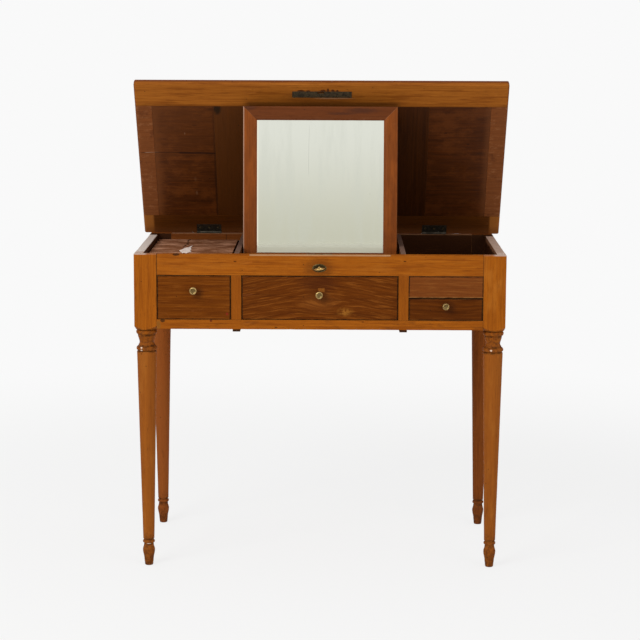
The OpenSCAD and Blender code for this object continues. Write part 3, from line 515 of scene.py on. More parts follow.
def rail_marks(coat):
    """Dirt round the keyhole, dark seams at the posts, and a chip by the left one."""
    coat.spot((-0.003, front, 0.7305), (0.034, 0.02, 0.022), (0.11, 0.03, 0.004), 0.45)
    coat.lay(coat.cloud((9, 30, 34), 0.50, 0.70, 0.15, 0.0, 3.0, 0.6), (0.46, 0.160, 0.020))
    post_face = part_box("leg_front_right")[0].x
    for side, strength in ((-1, 0.85), (1, 0.55)):
        coat.lay(ramp(coat.x * side - post_face, -0.0026, -0.0012), (0.045, 0.014, 0.003), strength)
    coat.spot((-0.339, front, 0.7628), (0.0085, 0.02, 0.0045), (0.03, 0.01, 0.003), 0.85, 0.15)


def low_rail_marks(coat):
    """A let-in patch and a chip at the left end, a red speck, and soiling."""
    for x, z, width, tall, shade, strength, soft in (
            (-0.382, 0.594, 0.0052, 0.0105, (0.20, 0.085, 0.014), 0.55, 0.12),
            (-0.372, 0.6035, 0.0055, 0.004, (0.045, 0.016, 0.004), 0.85, 0.2),
            (-0.2574, 0.604, 0.003, 0.003, (0.09, 0.012, 0.004), 0.8, 0.3)):
        coat.spot((x, front, z), (width, 0.02, tall), shade, strength, soft)
    coat.lay(coat.cloud((26, 26, 70), 0.55, 0.72, 0.5, 0.0, 3.0, 0.6), (0.13, 0.035, 0.005))


rail_common = dict(worm=0.8, streaks=0.45)
top_rail_wood = wood("top_rail_wood", honey, honey_dark, centre=(0, front, 0.737), pith=(0, -0.16, -0.05),
                     spacing=0.0045, rings=0.45, worn=(0.40, 0.14, 0.02), wear=0.3, figure=0.25,
                     gleam=(0.43, 0.15, 0.015), finish=rail_marks, **rail_common,
                     knots=(((-0.2001, front, 0.7454), 0.0062, 0.9), ((0.2000, front, 0.7472), 0.006, 0.9)))
low_rail_wood = wood("low_rail_wood", honey, honey_dark, centre=(0, front, 0.592), pith=(0, -0.1, -0.03),
                     spacing=0.004, rings=0.55, worn=(0.42, 0.18, 0.04), wear=0.55, finish=low_rail_marks,
                     knots=(((-0.1035, front, 0.5884), 0.006, 0.9), ((0.1023, front, 0.6026), 0.005, 0.9)),
                     **rail_common)
board("front_rail", top_rail_wood, "case", "front_top_rail", seed=5)
board("low_front_rail", low_rail_wood, "case", "front_bottom_rail", seed=6)

# ---- Slip
# A thin strip of paler, pinkish wood let into the top front edge of the front rail, where the lock's
# bolt and the closing lid had worn it. It is glued in and has shrunk from its left end.

slip_wood = wood("slip_wood", (0.50, 0.27, 0.13), (0.30, 0.13, 0.05), face=(0, 0, 1), spacing=0.003,
                 worn=(0.6, 0.4, 0.25), wear=0.5, worm=0.0, mottle=0.5)
board("rail_slip_strip", slip_wood, "case", "rail_slip", arris=0.0005, every=0.02, dent=0.0003)

# ---- Muntins
# Two short uprights between the drawers, honey wood with the grain upright, housed into both rails.
# They are a little darker than the rails, and hands have rubbed their edges.

muntin_wood = wood("muntin_wood", (0.335, 0.094, 0.0052), (0.148, 0.031, 0.002), along=(0, 0, 1),
                   pith=(0, 0.1, -0.04), worm=0.4, spacing=0.010, rings=0.35, mottle=0.45,
                   worn=(0.42, 0.17, 0.03))
board("drawer_muntins", muntin_wood, "case", "muntins", seed=7)

# ---- Blank panel
# The fixed panel above the shallow right drawer, which looks like a drawer front. It is veneered, a
# little greyer than the drawer below it, and glued between the post and the muntin.


def gap_shade_border(coat, node):
    """Painted shade along the edges of a front, where the gaps round it fall dark."""
    low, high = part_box(node)
    near = reckon("MINIMUM", coat.x - low.x, high.x - coat.x)
    near = reckon("MINIMUM", near, high.z - coat.z)
    near = reckon("MINIMUM", near, coat.z - low.z + 0.0008)
    ragged = cloudy(coat.place, 90, 3.0, 0.6) * 0.003 - 0.0015
    # Painted shade: a ragged dark border round the front.
    coat.lay(ramp(near + ragged, 0.0034, 0.0014), (0.018, 0.006, 0.002), 0.92)


def blank_marks(coat):
    """Painted shade round the panel, and a light worn line along its lower edge."""
    gap_shade_border(coat, "blank_panel")
    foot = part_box("blank_panel")[0].z
    line = band(coat.z, foot + 0.0006, foot + 0.0026, 0.0005)
    coat.lay(line * coat.cloud(60, 0.35, 0.6, 0.6, 0.1, 3.0, 0.6), (0.33, 0.14, 0.04))


blank_wood = wood("blank_wood", (0.200, 0.054, 0.008), (0.100, 0.023, 0.003), centre=(0.3, front, 0.69),
                  pith=(0, -0.35, -0.02), spacing=0.007, worn=(0.32, 0.13, 0.03), wear=0.3, figure=0.4,
                  gleam=(0.28, 0.10, 0.02), shine=0.06, finish=blank_marks)
board("false_front", blank_wood, "case", "blank_panel", seed=8)

# ---- Aprons
# The sides and the back of the case, tenoned into the posts: the sides in honey wood with some red in it, the
# back a plainer board that shows a joint, with painted shade on its inner face.


def painted_rim_sheen(coat, shade):
    """Painted sheen along the top edges, broken by noise."""
    coat.lay(band(coat.z, rim_low, rim_high, 0.0007) * coat.cloud(60, 0.3, 0.5, 0.95, 0.35), shade)


def apron_marks(coat):
    """The inner faces are painted nearly black with shade, which gives way to painted light along their upper
    part, mostly on the right wall, and the rims carry painted sheen, palest on the left.
    """
    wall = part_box("right_apron")[0].x
    # Painted shade: the inner face is laid nearly black.
    inner = ramp(abs(coat.x), wall + 0.0012, wall + 0.0004)
    coat.lay(inner, (0.034, 0.010, 0.003))
    # Painted light: the upper part of the inner face, mostly on the right wall, is left paler above a ragged
    # line.
    depth = cloudy(coat.place, (20, 26, 26), 3.0, 0.6) * 0.030 + 0.7345
    upper = ramp(coat.z - depth, -0.002, 0.006, 0.0, 0.75) * ramp(coat.x, -0.1, 0.1, 0.1, 1.0)
    coat.lay(inner * upper, (0.24, 0.105, 0.050))
    # Painted sheen along the rims.
    painted_rim_sheen(coat, (0.40, 0.24, 0.16))
    # Painted sheen on the rims, whitish and strongest on the left.
    left_rim_sheen = ramp(coat.x, 0.0, -0.2, 0.25, 1.0)
    coat.lay(band(coat.z, rim_low, rim_high, 0.0007) * left_rim_sheen, (0.72, 0.64, 0.58), 0.85)


def back_marks(coat):
    """The joint of the back's two boards, painted shade on the inner face, strongest from the middle to the
    right, and painted sheen along the top.
    """
    coat.lay(band(coat.x, -0.2455, -0.2440, 0.0004), (0.02, 0.008, 0.003), 0.8)
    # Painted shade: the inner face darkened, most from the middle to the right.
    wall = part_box("back_apron")[0].y
    inner = ramp(coat.y, wall + 0.0012, wall + 0.0004) * ramp(coat.x, -0.2, 0.0, 0.25, 0.97)
    coat.lay(inner, (0.030, 0.009, 0.002))
    painted_rim_sheen(coat, (0.26, 0.12, 0.06))


for name, side, number in (("left_apron", -1, 9), ("right_apron", 1, 10)):
    material = wood(name + "_wood", (0.33, 0.098, 0.010), (0.165, 0.037, 0.004), along=(0, 1, 0),
                    face=(side, 0, 0), centre=(side * 0.44, 0, 0.67), pith=(0, -0.3, -0.05), spacing=0.006,
                    rings=0.7, worn=(0.40, 0.17, 0.04), knots=(((side * 0.439, 0.05, 0.66), 0.012, 0.8),),
                    finish=apron_marks)
    board(name.replace("apron", "side"), material, "case", name, seed=number)
back_wood = wood("back_wood", (0.26, 0.075, 0.012), (0.12, 0.028, 0.004), face=(0, 1, 0),
                 pith=(0, -0.4, -0.06), spacing=0.008, rings=0.8, centre=(0, 0.23, 0.67),
                 worn=(0.36, 0.16, 0.06), wear=0.45, scratches=0.12, worm=0.4, gloss=0.6, finish=back_marks,
                 knots=(((0.12, 0.23, 0.68), 0.016, 0.8), ((-0.25, 0.23, 0.63), 0.012, 0.8)))
board("back_board", back_wood, "case", "back_apron", seed=11)

# ---- Carcase
# What divides the inside: two partitions with grooves for the mirror's pivots, a thin floor under
# each well, the ledge under the cover's front edge, and the bearers. Plain dark boards, nailed in.


def partition_marks(coat):
    """Painted greyish sheen along the top."""
    painted_rim_sheen(coat, (0.17, 0.10, 0.075))


partition_wood = wood("partition_wood", (0.135, 0.047, 0.014), (0.05, 0.015, 0.005), along=(0, 1, 0),
                      face=(1, 0, 0), gloss=0.6, worn=(0.16, 0.09, 0.06), wear=0.5, finish=partition_marks)
floor_wood = wood("floor_wood", (0.10, 0.034, 0.010), (0.045, 0.014, 0.004), along=(0, 1, 0), face=(0, 0, 1),
                  gloss=0.65, pith=(0, -0.15, -0.1), spacing=0.006)
bearer_wood = wood("bearer_wood", (0.060, 0.022, 0.009), (0.024, 0.009, 0.004), along=(0, 1, 0),
                   face=(0, 0, 1), gloss=0.65)
for side, number in (("left", 12), ("right", 13)):
    node = side + "_partition"
    board(node + "_board", partition_wood, "case", node, seed=number)
for name in ("left_well_floor", "middle_well_floor", "right_well_floor"):
    board(name + "_board", floor_wood, "case", name, arris=0.0006, every=0.03, dent=0.0)
board("bearers", bearer_wood, "case", "runner_bearers", arris=0.0008, every=0.02)
board("ledge", floor_wood, "case", "cover_ledge", arris=0.0008, every=0.02)

# ---- Runners
# L-shaped strips of plain pine that carry and guide the drawers, nailed to the partitions and sides.
# Wax and use have darkened the ledges.

pine_wood = wood("pine_wood", (0.50, 0.27, 0.105), (0.30, 0.135, 0.045), along=(0, 1, 0), face=(0, 0, 1),
                 pith=(0, -0.08, -0.05), rings=0.8, fibre=0.3, pores=0.1, mottle=0.4, gloss=0.6, worm=0.15,
                 worn=(0.55, 0.36, 0.18))
for side in ("outer", "inner"):
    board(side + "_runner_strips", pine_wood, "case", side + "_runners", arris=0.0007,
          every=0.03, dent=0.0003)

# ---- Escutcheon, lock and bolt
# The oval plate round the keyhole is thin brass, dished at its rim and dark with age. Behind it, let
# into the rail, are the dark brass lock case and the bolt that the key lifts.

key_place = middle("escutcheon")
key_place.y = front


def metal(name, bright, dull, roughness, pits=0.5, patina=0.6, bare=1.0, finish=None):
    """Old metal: bright where it is rubbed, dull and spotted elsewhere."""
    coat = Coat(name, bright)
    specks = ramp(cloudy(coat.place, 700, 3.0, 0.6), 0.55, 0.7)
    stain = reckon("MAXIMUM", ramp(cloudy(coat.place, 110, 5.0, 0.65), 0.36, 0.64), specks * pits)
    edge = use(coat.tree, edge_wear, Vector=coat.place, Reach=0.0008, Spread=0.7)["Edge"]
    dullness = stain * patina * (1.0 - edge)
    coat.lay(dullness, dull)
    if finish:
        finish(coat)
    return coat.finished(dullness * 0.3 + roughness, {"Metallic": bare}, specks * -1.0, 0.4, 0.0002)


def plate_marks(coat):
    """The dished middle is nearly black, and the rim is rubbed."""
    coat.spot(key_place, (0.0150, 0.02, 0.0084), (0.020, 0.014, 0.006), 0.85, 0.12)


def oval_radius(half_width, half_height):
    """How far an oval reaches at an angle."""
    return lambda a: 1 / math.hypot(math.cos(a) / half_width, math.sin(a) / half_height)


def keyhole_radius(a):
    """Round hole with a slot below it."""
    down = -math.sin(a)
    slot = min(0.0066 / down, 0.00105 / max(abs(math.cos(a)), 1e-4)) if down > 0.2 else 0
    return max(0.0028, slot)


def close_rows(shape, rows):
    """Closes the faces between rows of points, each row to the next and the last to the first."""
    rows = [[shape.verts.new(point) for point in row] for row in rows]
    for row, following in zip(rows, rows[1:] + rows[:1]):
        for i in range(len(row)):
            j = (i + 1) % len(row)
            shape.faces.new((row[i], row[j], following[j], following[i]))


plate_steps = [math.tau * i / 96 for i in range(96)]
plate_rows = []
for reach_at, depth in ((oval_radius(0.0169, 0.0099), 0.0), (oval_radius(0.017, 0.010), 0.0005),
                        (oval_radius(0.0166, 0.0096), 0.0010), (oval_radius(0.0158, 0.0088), 0.0013),
                        (oval_radius(0.0150, 0.0081), 0.0009), (oval_radius(0.012, 0.0072), 0.0013),
                        (oval_radius(0.0085, 0.0068), 0.0015), (keyhole_radius, 0.0015),
                        (keyhole_radius, 0.0)):
    plate_rows.append([key_place + Vector((reach_at(a) * math.cos(a), -depth, reach_at(a) * math.sin(a)))
                       for a in plate_steps])
shape = bmesh.new()
close_rows(shape, plate_rows)
bmesh.ops.recalc_face_normals(shape, faces=shape.faces)
plate_brass = metal("plate_brass", (0.20, 0.13, 0.045), (0.03, 0.018, 0.008), 0.3, patina=0.8,
                    finish=plate_marks)
piece("key_plate", shape, plate_brass, "case", ["escutcheon"])
dark_brass = metal("dark_brass", (0.30, 0.19, 0.06), (0.028, 0.017, 0.007), 0.34, patina=0.95)
for name, node, body in (("lock", "lock_case", "case"), ("bolt", "lock_bolt", "lock_bolt")):
    board(name, dark_brass, body, node, arris=0.0003, every=0.0, dent=0.0)

# ---- Key
# An old brass key that stands in the lock: a shank with turned collars, a flat ring for the fingers,
# which lies nearly level, and the bit inside. Handling keeps the ring bright.

bow_half, bow_deep, bow_thick, bow_wire = 0.0135, 0.011, 0.0035, 0.0021
key_reach = 0.030
shank = ((0, -10.4), (2.4, -10.4), (2.5, -9.8), (2.5, 0), (2.5, 1.8), (3.6, 2.2), (4.0, 3.0), (3.6, 3.8),
         (2.6, 4.2), (2.4, 5.2), (3.1, 5.7), (3.3, 6.3), (3.1, 6.9), (2.3, 7.4), (2.2, 8.8), (0, 9.2))
brass = metal("old_brass", (0.62, 0.42, 0.15), (0.20, 0.11, 0.035), 0.24)
shape = turned(shank, (0, 0, 0), brass, 40)
bow_rows = []
for i in range(64):
    angle = math.tau * i / 64
    waist = 1 + 0.05 * math.cos(4 * angle)
    outward = Vector((math.cos(angle), 0, math.sin(angle)))
    heart = Vector((outward.x * (bow_half - bow_wire) * waist, 0,
                    key_reach - bow_deep + outward.z * (bow_deep - bow_wire)))
    bow_rows.append([heart + outward * math.cos(a) * bow_wire + Vector((0, math.sin(a) * bow_thick / 2, 0))
                     for a in [math.tau * k / 12 for k in range(12)]])
close_rows(shape, bow_rows)
bit = bmesh.ops.create_cube(shape, size=1.0)["verts"]
bmesh.ops.scale(shape, vec=(0.0018, 0.0055, 0.004), verts=bit)
bmesh.ops.translate(shape, vec=(0, -0.00375, -0.0082), verts=bit)
bit_edges = list({e for v in bit for e in v.link_edges})
bmesh.ops.bevel(shape, geom=bit_edges, offset=0.0003, segments=2, affect="EDGES")
bmesh.ops.recalc_face_normals(shape, faces=shape.faces)
in_lock = (Matrix.Translation(key_place) @ Matrix.Rotation(math.radians(-6), 4, "Y")
           @ Matrix.Rotation(math.radians(90), 4, "X"))
bmesh.ops.transform(shape, matrix=in_lock, verts=shape.verts)
piece("door_key", shape, brass, "key", ["key"], smooth=1.0)

# ---- Lid
# A frame of two rails with three thin boards between them, under one wide top sheet of redder wood with
# a rounded edge. The boards inside are stained dark, rubbed pale at the outer ends, with a crack.

pin = Vector((0, 0.235626, 0.7624))
rise = math.radians(57.6)
lid_up = Vector((0, -math.cos(rise), math.sin(rise)))
lid_out = Vector((0, math.sin(rise), math.cos(rise)))
hinge_x = 0.29
rear_drop = 0.0057
leaf_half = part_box("lid_hinge_leaves")[1].x - hinge_x
strike_x, strike_half = 0.0015, 0.009
strike_low_d = (middle("strike_plate") - pin).dot(lid_up) - strike_half
strike_high_d = strike_low_d + 2 * strike_half


def on_lid(x, d, h=0.0):
    """A point of the standing lid: across it, from the hinge pin, and through it."""
    return Vector((x, 0, 0)) + pin + lid_up * d + lid_out * h


def from_pin(coat, way):
    """How far a point lies from the hinge pin, along the lid or through it."""
    return reckon("DOT_PRODUCT", coat.place - pin, way)


def close_rear(thing):
    """The lid's rear edge comes down to the rim everywhere but round the hinges."""
    for vert in thing.data.vertices:
        if (vert.co - pin).dot(lid_up) < 0.006 and abs(abs(vert.co.x) - hinge_x) > leaf_half:
            vert.co -= lid_up * rear_drop


def lid_rail_marks(coat):
    """Gouges above the strike plate, a bare line at its foot, painted shade round the strike plate's foot and
    along the inner edge, a darker painted shadow of the mirror just above the mirror's top, and dark outer
    edges."""
    for x, width, tall in ((0.004, 0.006, 0.005), (0.016, 0.003, 0.008), (0.028, 0.004, 0.006),
                           (0.039, 0.003, 0.005), (-0.05, 0.008, 0.004), (-0.032, 0.005, 0.003)):
        coat.spot(on_lid(x, strike_high_d + 0.001), (width, tall, tall), (0.045, 0.010, 0.004), 0.85, 0.2)
    coat.spot(on_lid(0.030, strike_low_d - 0.0022), (0.046, 0.0014, 0.0014), (0.42, 0.26, 0.15), 0.6, 0.3)
    # Painted shade round the strike plate's foot, part of the mirror's painted shadow on the rail.
    coat.spot(on_lid(strike_x, strike_low_d), (0.085, 0.02, 0.02), (0.09, 0.026, 0.005), 0.35)
    away = from_pin(coat, lid_up)
    # Painted shade along the rail's inner edge, across the whole width.
    coat.lay(ramp(away, 0.405, 0.396), (0.10, 0.028, 0.004), 0.45)
    # Painted shadow of the mirror: a darker band just above its top, as wide as the mirror.
    mirror_shadow_band = ramp(away, 0.4135, 0.4050) * band(coat.x, -0.185, 0.19, 0.012)
    coat.lay(mirror_shadow_band, (0.040, 0.012, 0.003), 0.55)
    reach = max((vert.co - pin).dot(lid_up) for vert in nodes["lid_front_rail"].data.vertices)
    top_edge = ramp(away, reach - 0.0036, reach - 0.0022, 0.0, 0.8)
    top_edge = top_edge * ramp(from_pin(coat, lid_out), 0.003, 0.009)
    side_edge = ramp(abs(coat.x), 0.4535, 0.4555, 0.0, 0.6)
    coat.lay(reckon("MAXIMUM", top_edge, side_edge), (0.125, 0.030, 0.008))


def back_rail_marks(coat):
    """The ends, which the case rim rubs, are as light as the front rail, and the foot is pale."""
    coat.lay(ramp(abs(coat.x), 0.428, 0.434), (0.26, 0.085, 0.014), 0.95)
    away = from_pin(coat, lid_up)
    coat.lay(ramp(away, 0.028, 0.006), (0.13, 0.04, 0.008), 0.6)
    coat.lay(ramp(away, -0.0012, -0.0032), (0.40, 0.24, 0.16), 0.75)


def crack_line(coat, distance, low_x, high_x, width, shade, strength=0.9):
    """A crack along the board at a distance from the hinge."""
    wobble = cloudy(coat.place, 9, 3.0, 0.6) * 0.007 - 0.0035
    away = abs(from_pin(coat, lid_up) + wobble - distance)
    run = ramp(coat.x, low_x - 0.004, low_x + 0.004) * ramp(coat.x, high_x + 0.02, high_x - 0.02)
    coat.lay(ramp(away, width, width * 0.3) * run, shade, strength)


def strip_marks(coat):
    """The crack runs through the left strip, and both strips are scuffed."""
    crack_line(coat, 0.2540, -0.452, -0.418, 0.0013, (0.02, 0.008, 0.003))
    crack_line(coat, 0.2548, -0.440, -0.418, 0.0011, (0.40, 0.24, 0.16), 0.8)
    coat.lay(coat.cloud((45, 90, 90), 0.52, 0.68, 0.6, rough=0.75), (0.27, 0.105, 0.040))
    coat.lay(coat.cloud((30, 34, 34), 0.54, 0.70, 0.6), (0.085, 0.024, 0.008))


def left_panel_marks(coat):
    """A paler outer part, stains, the gap to the middle board, the crack, and pale scrapes."""
    coat.lay(ramp(coat.x, -0.392, -0.419), (0.165, 0.050, 0.012), 0.7)
    coat.lay(coat.cloud((14, 22, 22), 0.46, 0.66, 0.55), (0.150, 0.040, 0.006))
    gap = cloudy(coat.place, (40, 50, 50), 3.0, 0.7) * 0.010 + coat.x
    coat.lay(ramp(gap, -0.2660, -0.2625), (0.020, 0.006, 0.002), 0.6)
    coat.lay(ramp(from_pin(coat, lid_up), 0.12, 0.38), (0.095, 0.026, 0.004), 0.5)
    crack_line(coat, 0.2540, -0.46, -0.262, 0.0014, (0.012, 0.004, 0.001))
    crack_line(coat, 0.2535, -0.355, -0.255, 0.0040, (0.014, 0.004, 0.002), 0.7)
    crack_line(coat, 0.2548, -0.425, -0.418, 0.0011, (0.34, 0.20, 0.13), 0.8)
    for x, d, size, pale in ((-0.3184, 0.1724, 0.004, 0.12), (-0.3166, 0.1277, 0.0035, 0.30),
                             (-0.3387, 0.3130, 0.0018, 0.45)):
        coat.spot(on_lid(x, d, 0.001), (size * 0.7, size * 1.5, size * 1.5), (0.24, 0.13, 0.07), pale, 0.7)


def right_panel_marks(coat):
    """Stained, and paler towards the end of the lid."""
    coat.lay(coat.cloud((14, 22, 22), 0.46, 0.66, 0.5), (0.115, 0.030, 0.005))
    coat.lay(ramp(coat.x, 0.396, 0.419), (0.150, 0.046, 0.012), 0.55)


def middle_panel_marks(coat):
    """The left part has kept less of its stain, and its upper corner is burnt nearly black."""
    coat.lay(ramp(coat.x, -0.05, -0.18), (0.135, 0.040, 0.006), 0.45)
    coat.spot(on_lid(-0.2560, 0.388, 0.004), (0.0095, 0.016, 0.016), (0.012, 0.007, 0.003), 0.85, 0.4)


lid_top_wood = wood("lid_top_wood", (0.30, 0.085, 0.016), (0.125, 0.026, 0.004), face=lid_out,
                    centre=on_lid(0, 0.24, 0.018), pith=(0, 0.12, -0.16), spacing=0.009, wander=0.02,
                    rings=0.8, worn=(0.10, 0.022, 0.005), wear=0.5, reach=0.004, gloss=0.44, shine=0.2,
                    scratches=0.2, knots=((on_lid(0.21, 0.3, 0.018), 0.022, 0.7),))
lid_rail_wood = wood("lid_rail_wood", (0.40, 0.132, 0.016), (0.170, 0.042, 0.004), face=-lid_out,
                     centre=on_lid(0, 0.43), pith=(0, -0.22, -0.05), rings=0.5, worn=(0.12, 0.03, 0.008),
                     wear=0.3, worm=0.9, streaks=0.6, finish=lid_rail_marks)
lid_back_wood = wood("lid_back_wood", (0.112, 0.031, 0.004), (0.045, 0.012, 0.001), face=-lid_out,
                     centre=on_lid(0, 0.03), pith=(0, -0.18, -0.04), worn=(0.10, 0.03, 0.006), wear=0.3,
                     scratches=0.2, finish=back_rail_marks)
strip_wood = wood("strip_wood", (0.215, 0.066, 0.018), (0.115, 0.033, 0.009), face=-lid_out,
                  centre=on_lid(0, 0.23), pith=(0, -0.3, -0.04), spacing=0.006, worn=(0.10, 0.03, 0.01),
                  wear=0.3, finish=strip_marks)
close_rear(board("lid_sheet", lid_top_wood, "lid", "lid_top", arris=0.0006, every=0.02,
                 dent=0.0002, seed=14))
board("lid_front", lid_rail_wood, "lid", "lid_front_rail", arris=0.0008, seed=15)
close_rear(board("lid_back", lid_back_wood, "lid", "lid_back_rail", arris=0.0008, seed=16))
board("lid_ends", strip_wood, "lid", "lid_end_strips", arris=0.0008, seed=17)

panel_common = dict(face=-lid_out, worn=(0.14, 0.05, 0.012), wear=0.2, shine=0.12, gloss=0.45, scratches=0.12,
                    worm=0.3, streaks=0.5, wander=0.02)
side_panel_common = dict(spacing=0.009, rings=0.9, mottle=0.55, **panel_common)
left_panel_wood = wood("left_panel_wood", (0.105, 0.025, 0.003), (0.034, 0.008, 0.001),
                       centre=on_lid(-0.35, 0.23), pith=(0, -0.12, -0.04), figure=0.35,
                       gleam=(0.17, 0.048, 0.008), finish=left_panel_marks,
                       knots=((on_lid(-0.2705, 0.3860, 0.004), 0.017, 0.95),
                              (on_lid(-0.314, 0.338, 0.004), 0.009, 0.8),
                              (on_lid(-0.400, 0.16, 0.004), 0.006, 0.7)), **side_panel_common)
right_panel_wood = wood("right_panel_wood", (0.080, 0.0185, 0.0025), (0.031, 0.0075, 0.001),
                        centre=on_lid(0.35, 0.23), pith=(0, 0.14, -0.04), figure=0.25,
                        gleam=(0.13, 0.036, 0.006), finish=right_panel_marks,
                        knots=((on_lid(0.307, 0.317, 0.004), 0.007, 0.8),
                               (on_lid(0.3643, 0.2837, 0.004), 0.006, 0.8),
                               (on_lid(0.3894, 0.1059, 0.004), 0.005, 0.7)), **side_panel_common)
middle_panel_wood = wood("middle_panel_wood", (0.060, 0.0155, 0.002), (0.024, 0.006, 0.0008), along=lid_up,
                         centre=on_lid(0, 0.23), pith=(0, -0.4, -0.05), spacing=0.010, rings=0.8, mottle=0.5,
                         finish=middle_panel_marks, **panel_common)
panel_face, panel_sink = 0.0052, 0.0032
for side, material, number in (("left", left_panel_wood, 18), ("middle", middle_panel_wood, 19),
                               ("right", right_panel_wood, 20)):
    made = board("lid_board_" + side, material, "lid", "lid_" + side + "_panel", arris=0.0006,
                 dent=0.0003, seed=number)
    # The faces lie a little under those of the strips round them.
    for vert in made.data.vertices:
        if (vert.co - pin).dot(lid_out) < panel_face:
            vert.co -= lid_out * panel_sink

# ---- Hinges and strike plate
# Two iron butt hinges, each leaf let in flush and held by three screws, and a long iron plate in the
# lid's front rail that takes the bolt. All are blackened, with filed edges and slotted screws.

iron = metal("dark_iron", (0.075, 0.062, 0.045), (0.026, 0.02, 0.013), 0.45, patina=0.9, bare=0.85)
strike_iron = metal("strike_iron", (0.10, 0.070, 0.034), (0.020, 0.013, 0.006), 0.5, pits=0.9, patina=0.9,
                    bare=0.5)
screw_iron = metal("screw_iron", (0.34, 0.27, 0.15), (0.08, 0.055, 0.025), 0.36, patina=0.7)
for name, node, body in (("case_leaves", "case_hinge_leaves", "case"),
                         ("lid_leaves", "lid_hinge_leaves", "lid"), ("pins", "hinge_pins", "hinge_pins")):
    board(name, iron, body, node, arris=0.00035, every=0.0, dent=0.0)
board("strike", strike_iron, "lid", "strike_plate", arris=0.00035, every=0.01, dent=0.0005,
      seed=21)


def screw_shape(name):
    """One slotted countersunk screw with its head at the origin and its point at -Z."""
    outline = ((0, -12), (0.9, -11.4), (1.45, -9.5), (1.5, -2), (2.9, -0.3), (2.93, -0.12), (2.4, -0.05),
               (0, -0.02))
    shape = turned(outline, (0, 0, 0), None, 20)
    half = 0.00035
    for offset in (-half, half):
        cut(shape, (0, offset, 0), (0, 1, 0))
    sunk = [f for f in shape.faces if f.normal.z > 0.5 and all(abs(v.co.y) <= half + 1e-6 for v in f.verts)]
    dropped = bmesh.ops.extrude_face_region(shape, geom=sunk)["geom"]
    slot_floor = [v for v in dropped if isinstance(v, bmesh.types.BMVert)]
    bmesh.ops.translate(shape, vec=(0, 0, -0.0009), verts=slot_floor)
    bmesh.ops.delete(shape, geom=sunk, context="FACES_ONLY")
    mesh = bpy.data.meshes.new(name)
    shape.to_mesh(mesh)
    shape.free()
    thing = bpy.data.objects.new(name, mesh)
    bpy.context.scene.collection.objects.link(thing)
    return thing


# Screws: one on every point, square to the plate, each stopped at its own angle
set_screws, take, give = effect(
    "set_screws", {"Places": "Geometry", "Screw": "Object", "Way": "Vector", "Seed": "Int",
                   "Finish": "Material"},
    ["Screws"], "Geometry")
any_turn = read(set_screws, "FunctionNodeRandomValue", {2: 0.0, 3: math.pi, "Seed": take["Seed"]}, 1,
                data_type="FLOAT")
spin = read(set_screws, "ShaderNodeCombineXYZ", {2: any_turn})
spin = read(set_screws, "FunctionNodeEulerToRotation", {0: spin})
aim = read(set_screws, "FunctionNodeAlignRotationToVector", {"Vector": take["Way"]}, axis="Z")
both = read(set_screws, "FunctionNodeRotateRotation", {0: aim, 1: spin}, rotation_space="LOCAL")
copy = read(set_screws, "GeometryNodeObjectInfo", {"Object": take["Screw"]}, "Geometry")
placed = read(set_screws, "GeometryNodeInstanceOnPoints",
              {"Points": take["Places"], "Instance": copy, "Rotation": both})
placed = read(set_screws, "GeometryNodeRealizeInstances", {0: placed})
placed = read(set_screws, "GeometryNodeSetMaterial", {"Geometry": placed, "Material": take["Finish"]})
feed(give["Screws"], placed)

screw = screw_shape("wood_screw")
head_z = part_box("case_screws")[1].z
leaf_length, leaf_inner, lid_leaf_outer, case_leaf_outer = 0.063, 0.0042, 0.026, 0.020
strike_screw_pitch = 0.0355
screw_spread = 0.36
leaf_spots = [side * hinge_x + i * leaf_length * screw_spread for side in (-1, 1) for i in (-1, 0, 1)]
lid_places = [on_lid(strike_x + i * strike_screw_pitch, strike_low_d + 0.004) for i in (-1, 0, 1)]
lid_places += [on_lid(x, (leaf_inner + lid_leaf_outer) / 2) for x in leaf_spots]
case_places = [Vector((x, pin.y - (leaf_inner + case_leaf_outer) / 2, head_z)) for x in leaf_spots]
for body, places, way, seed in (("lid", lid_places, -lid_out, 3), ("case", case_places, (0, 0, 1), 5)):
    spots = bpy.data.meshes.new("spots")
    spots.from_pydata([tuple(p) for p in places], [], [])
    shape = bmesh.new()
    shape.from_mesh(grown(spots, set_screws, Screw=screw, Way=tuple(way), Seed=seed, Finish=screw_iron))
    piece(body + "_screw_set", shape, screw_iron, body, [body + "_screws"])
bpy.data.objects.remove(screw)

# ---- Mirror
# The toilet mirror: a mitred frame of red wood with a small inner chamfer, an old silvered plate in its
# rebate and a pine board behind it. Two brass pivots near its foot run in the partitions' grooves.

lean = math.radians(4)
mirror_up = Vector((0, math.sin(lean), math.cos(lean)))
mirror_out = Vector((0, -math.cos(lean), math.sin(lean)))
pivot = Vector((-0.0015, -0.053574, 0.731806))
stile_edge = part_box("mirror_stiles")[0].x


def on_mirror(x, up, out=0.008):
    """A point of the standing mirror, from between its pivots."""
    return pivot + Vector((x, 0, 0)) + mirror_up * up + mirror_out * out


def stile_marks(coat):
    """Rubbed lighter in the middle of the stiles, and a painted highlight along the left edge."""
    coat.lay(coat.cloud((50, 50, 9), 0.42, 0.66, 0.5), (0.30, 0.075, 0.010))
    # Painted highlight along the outer left edge.
    coat.lay(ramp(coat.x, stile_edge + 0.0030, stile_edge + 0.0018), (0.50, 0.33, 0.24), 0.6)


def head_marks(coat):
    """Dark purplish streaks near the right end and the left corner."""
    for x, up, width, tall in ((0.100, 0.359, 0.036, 0.006), (-0.172, 0.366, 0.016, 0.005),
                               (0.05, 0.352, 0.03, 0.003)):
        coat.spot(on_mirror(x, up), (width, 0.012, tall), (0.055, 0.017, 0.008), 0.7, 0.6)


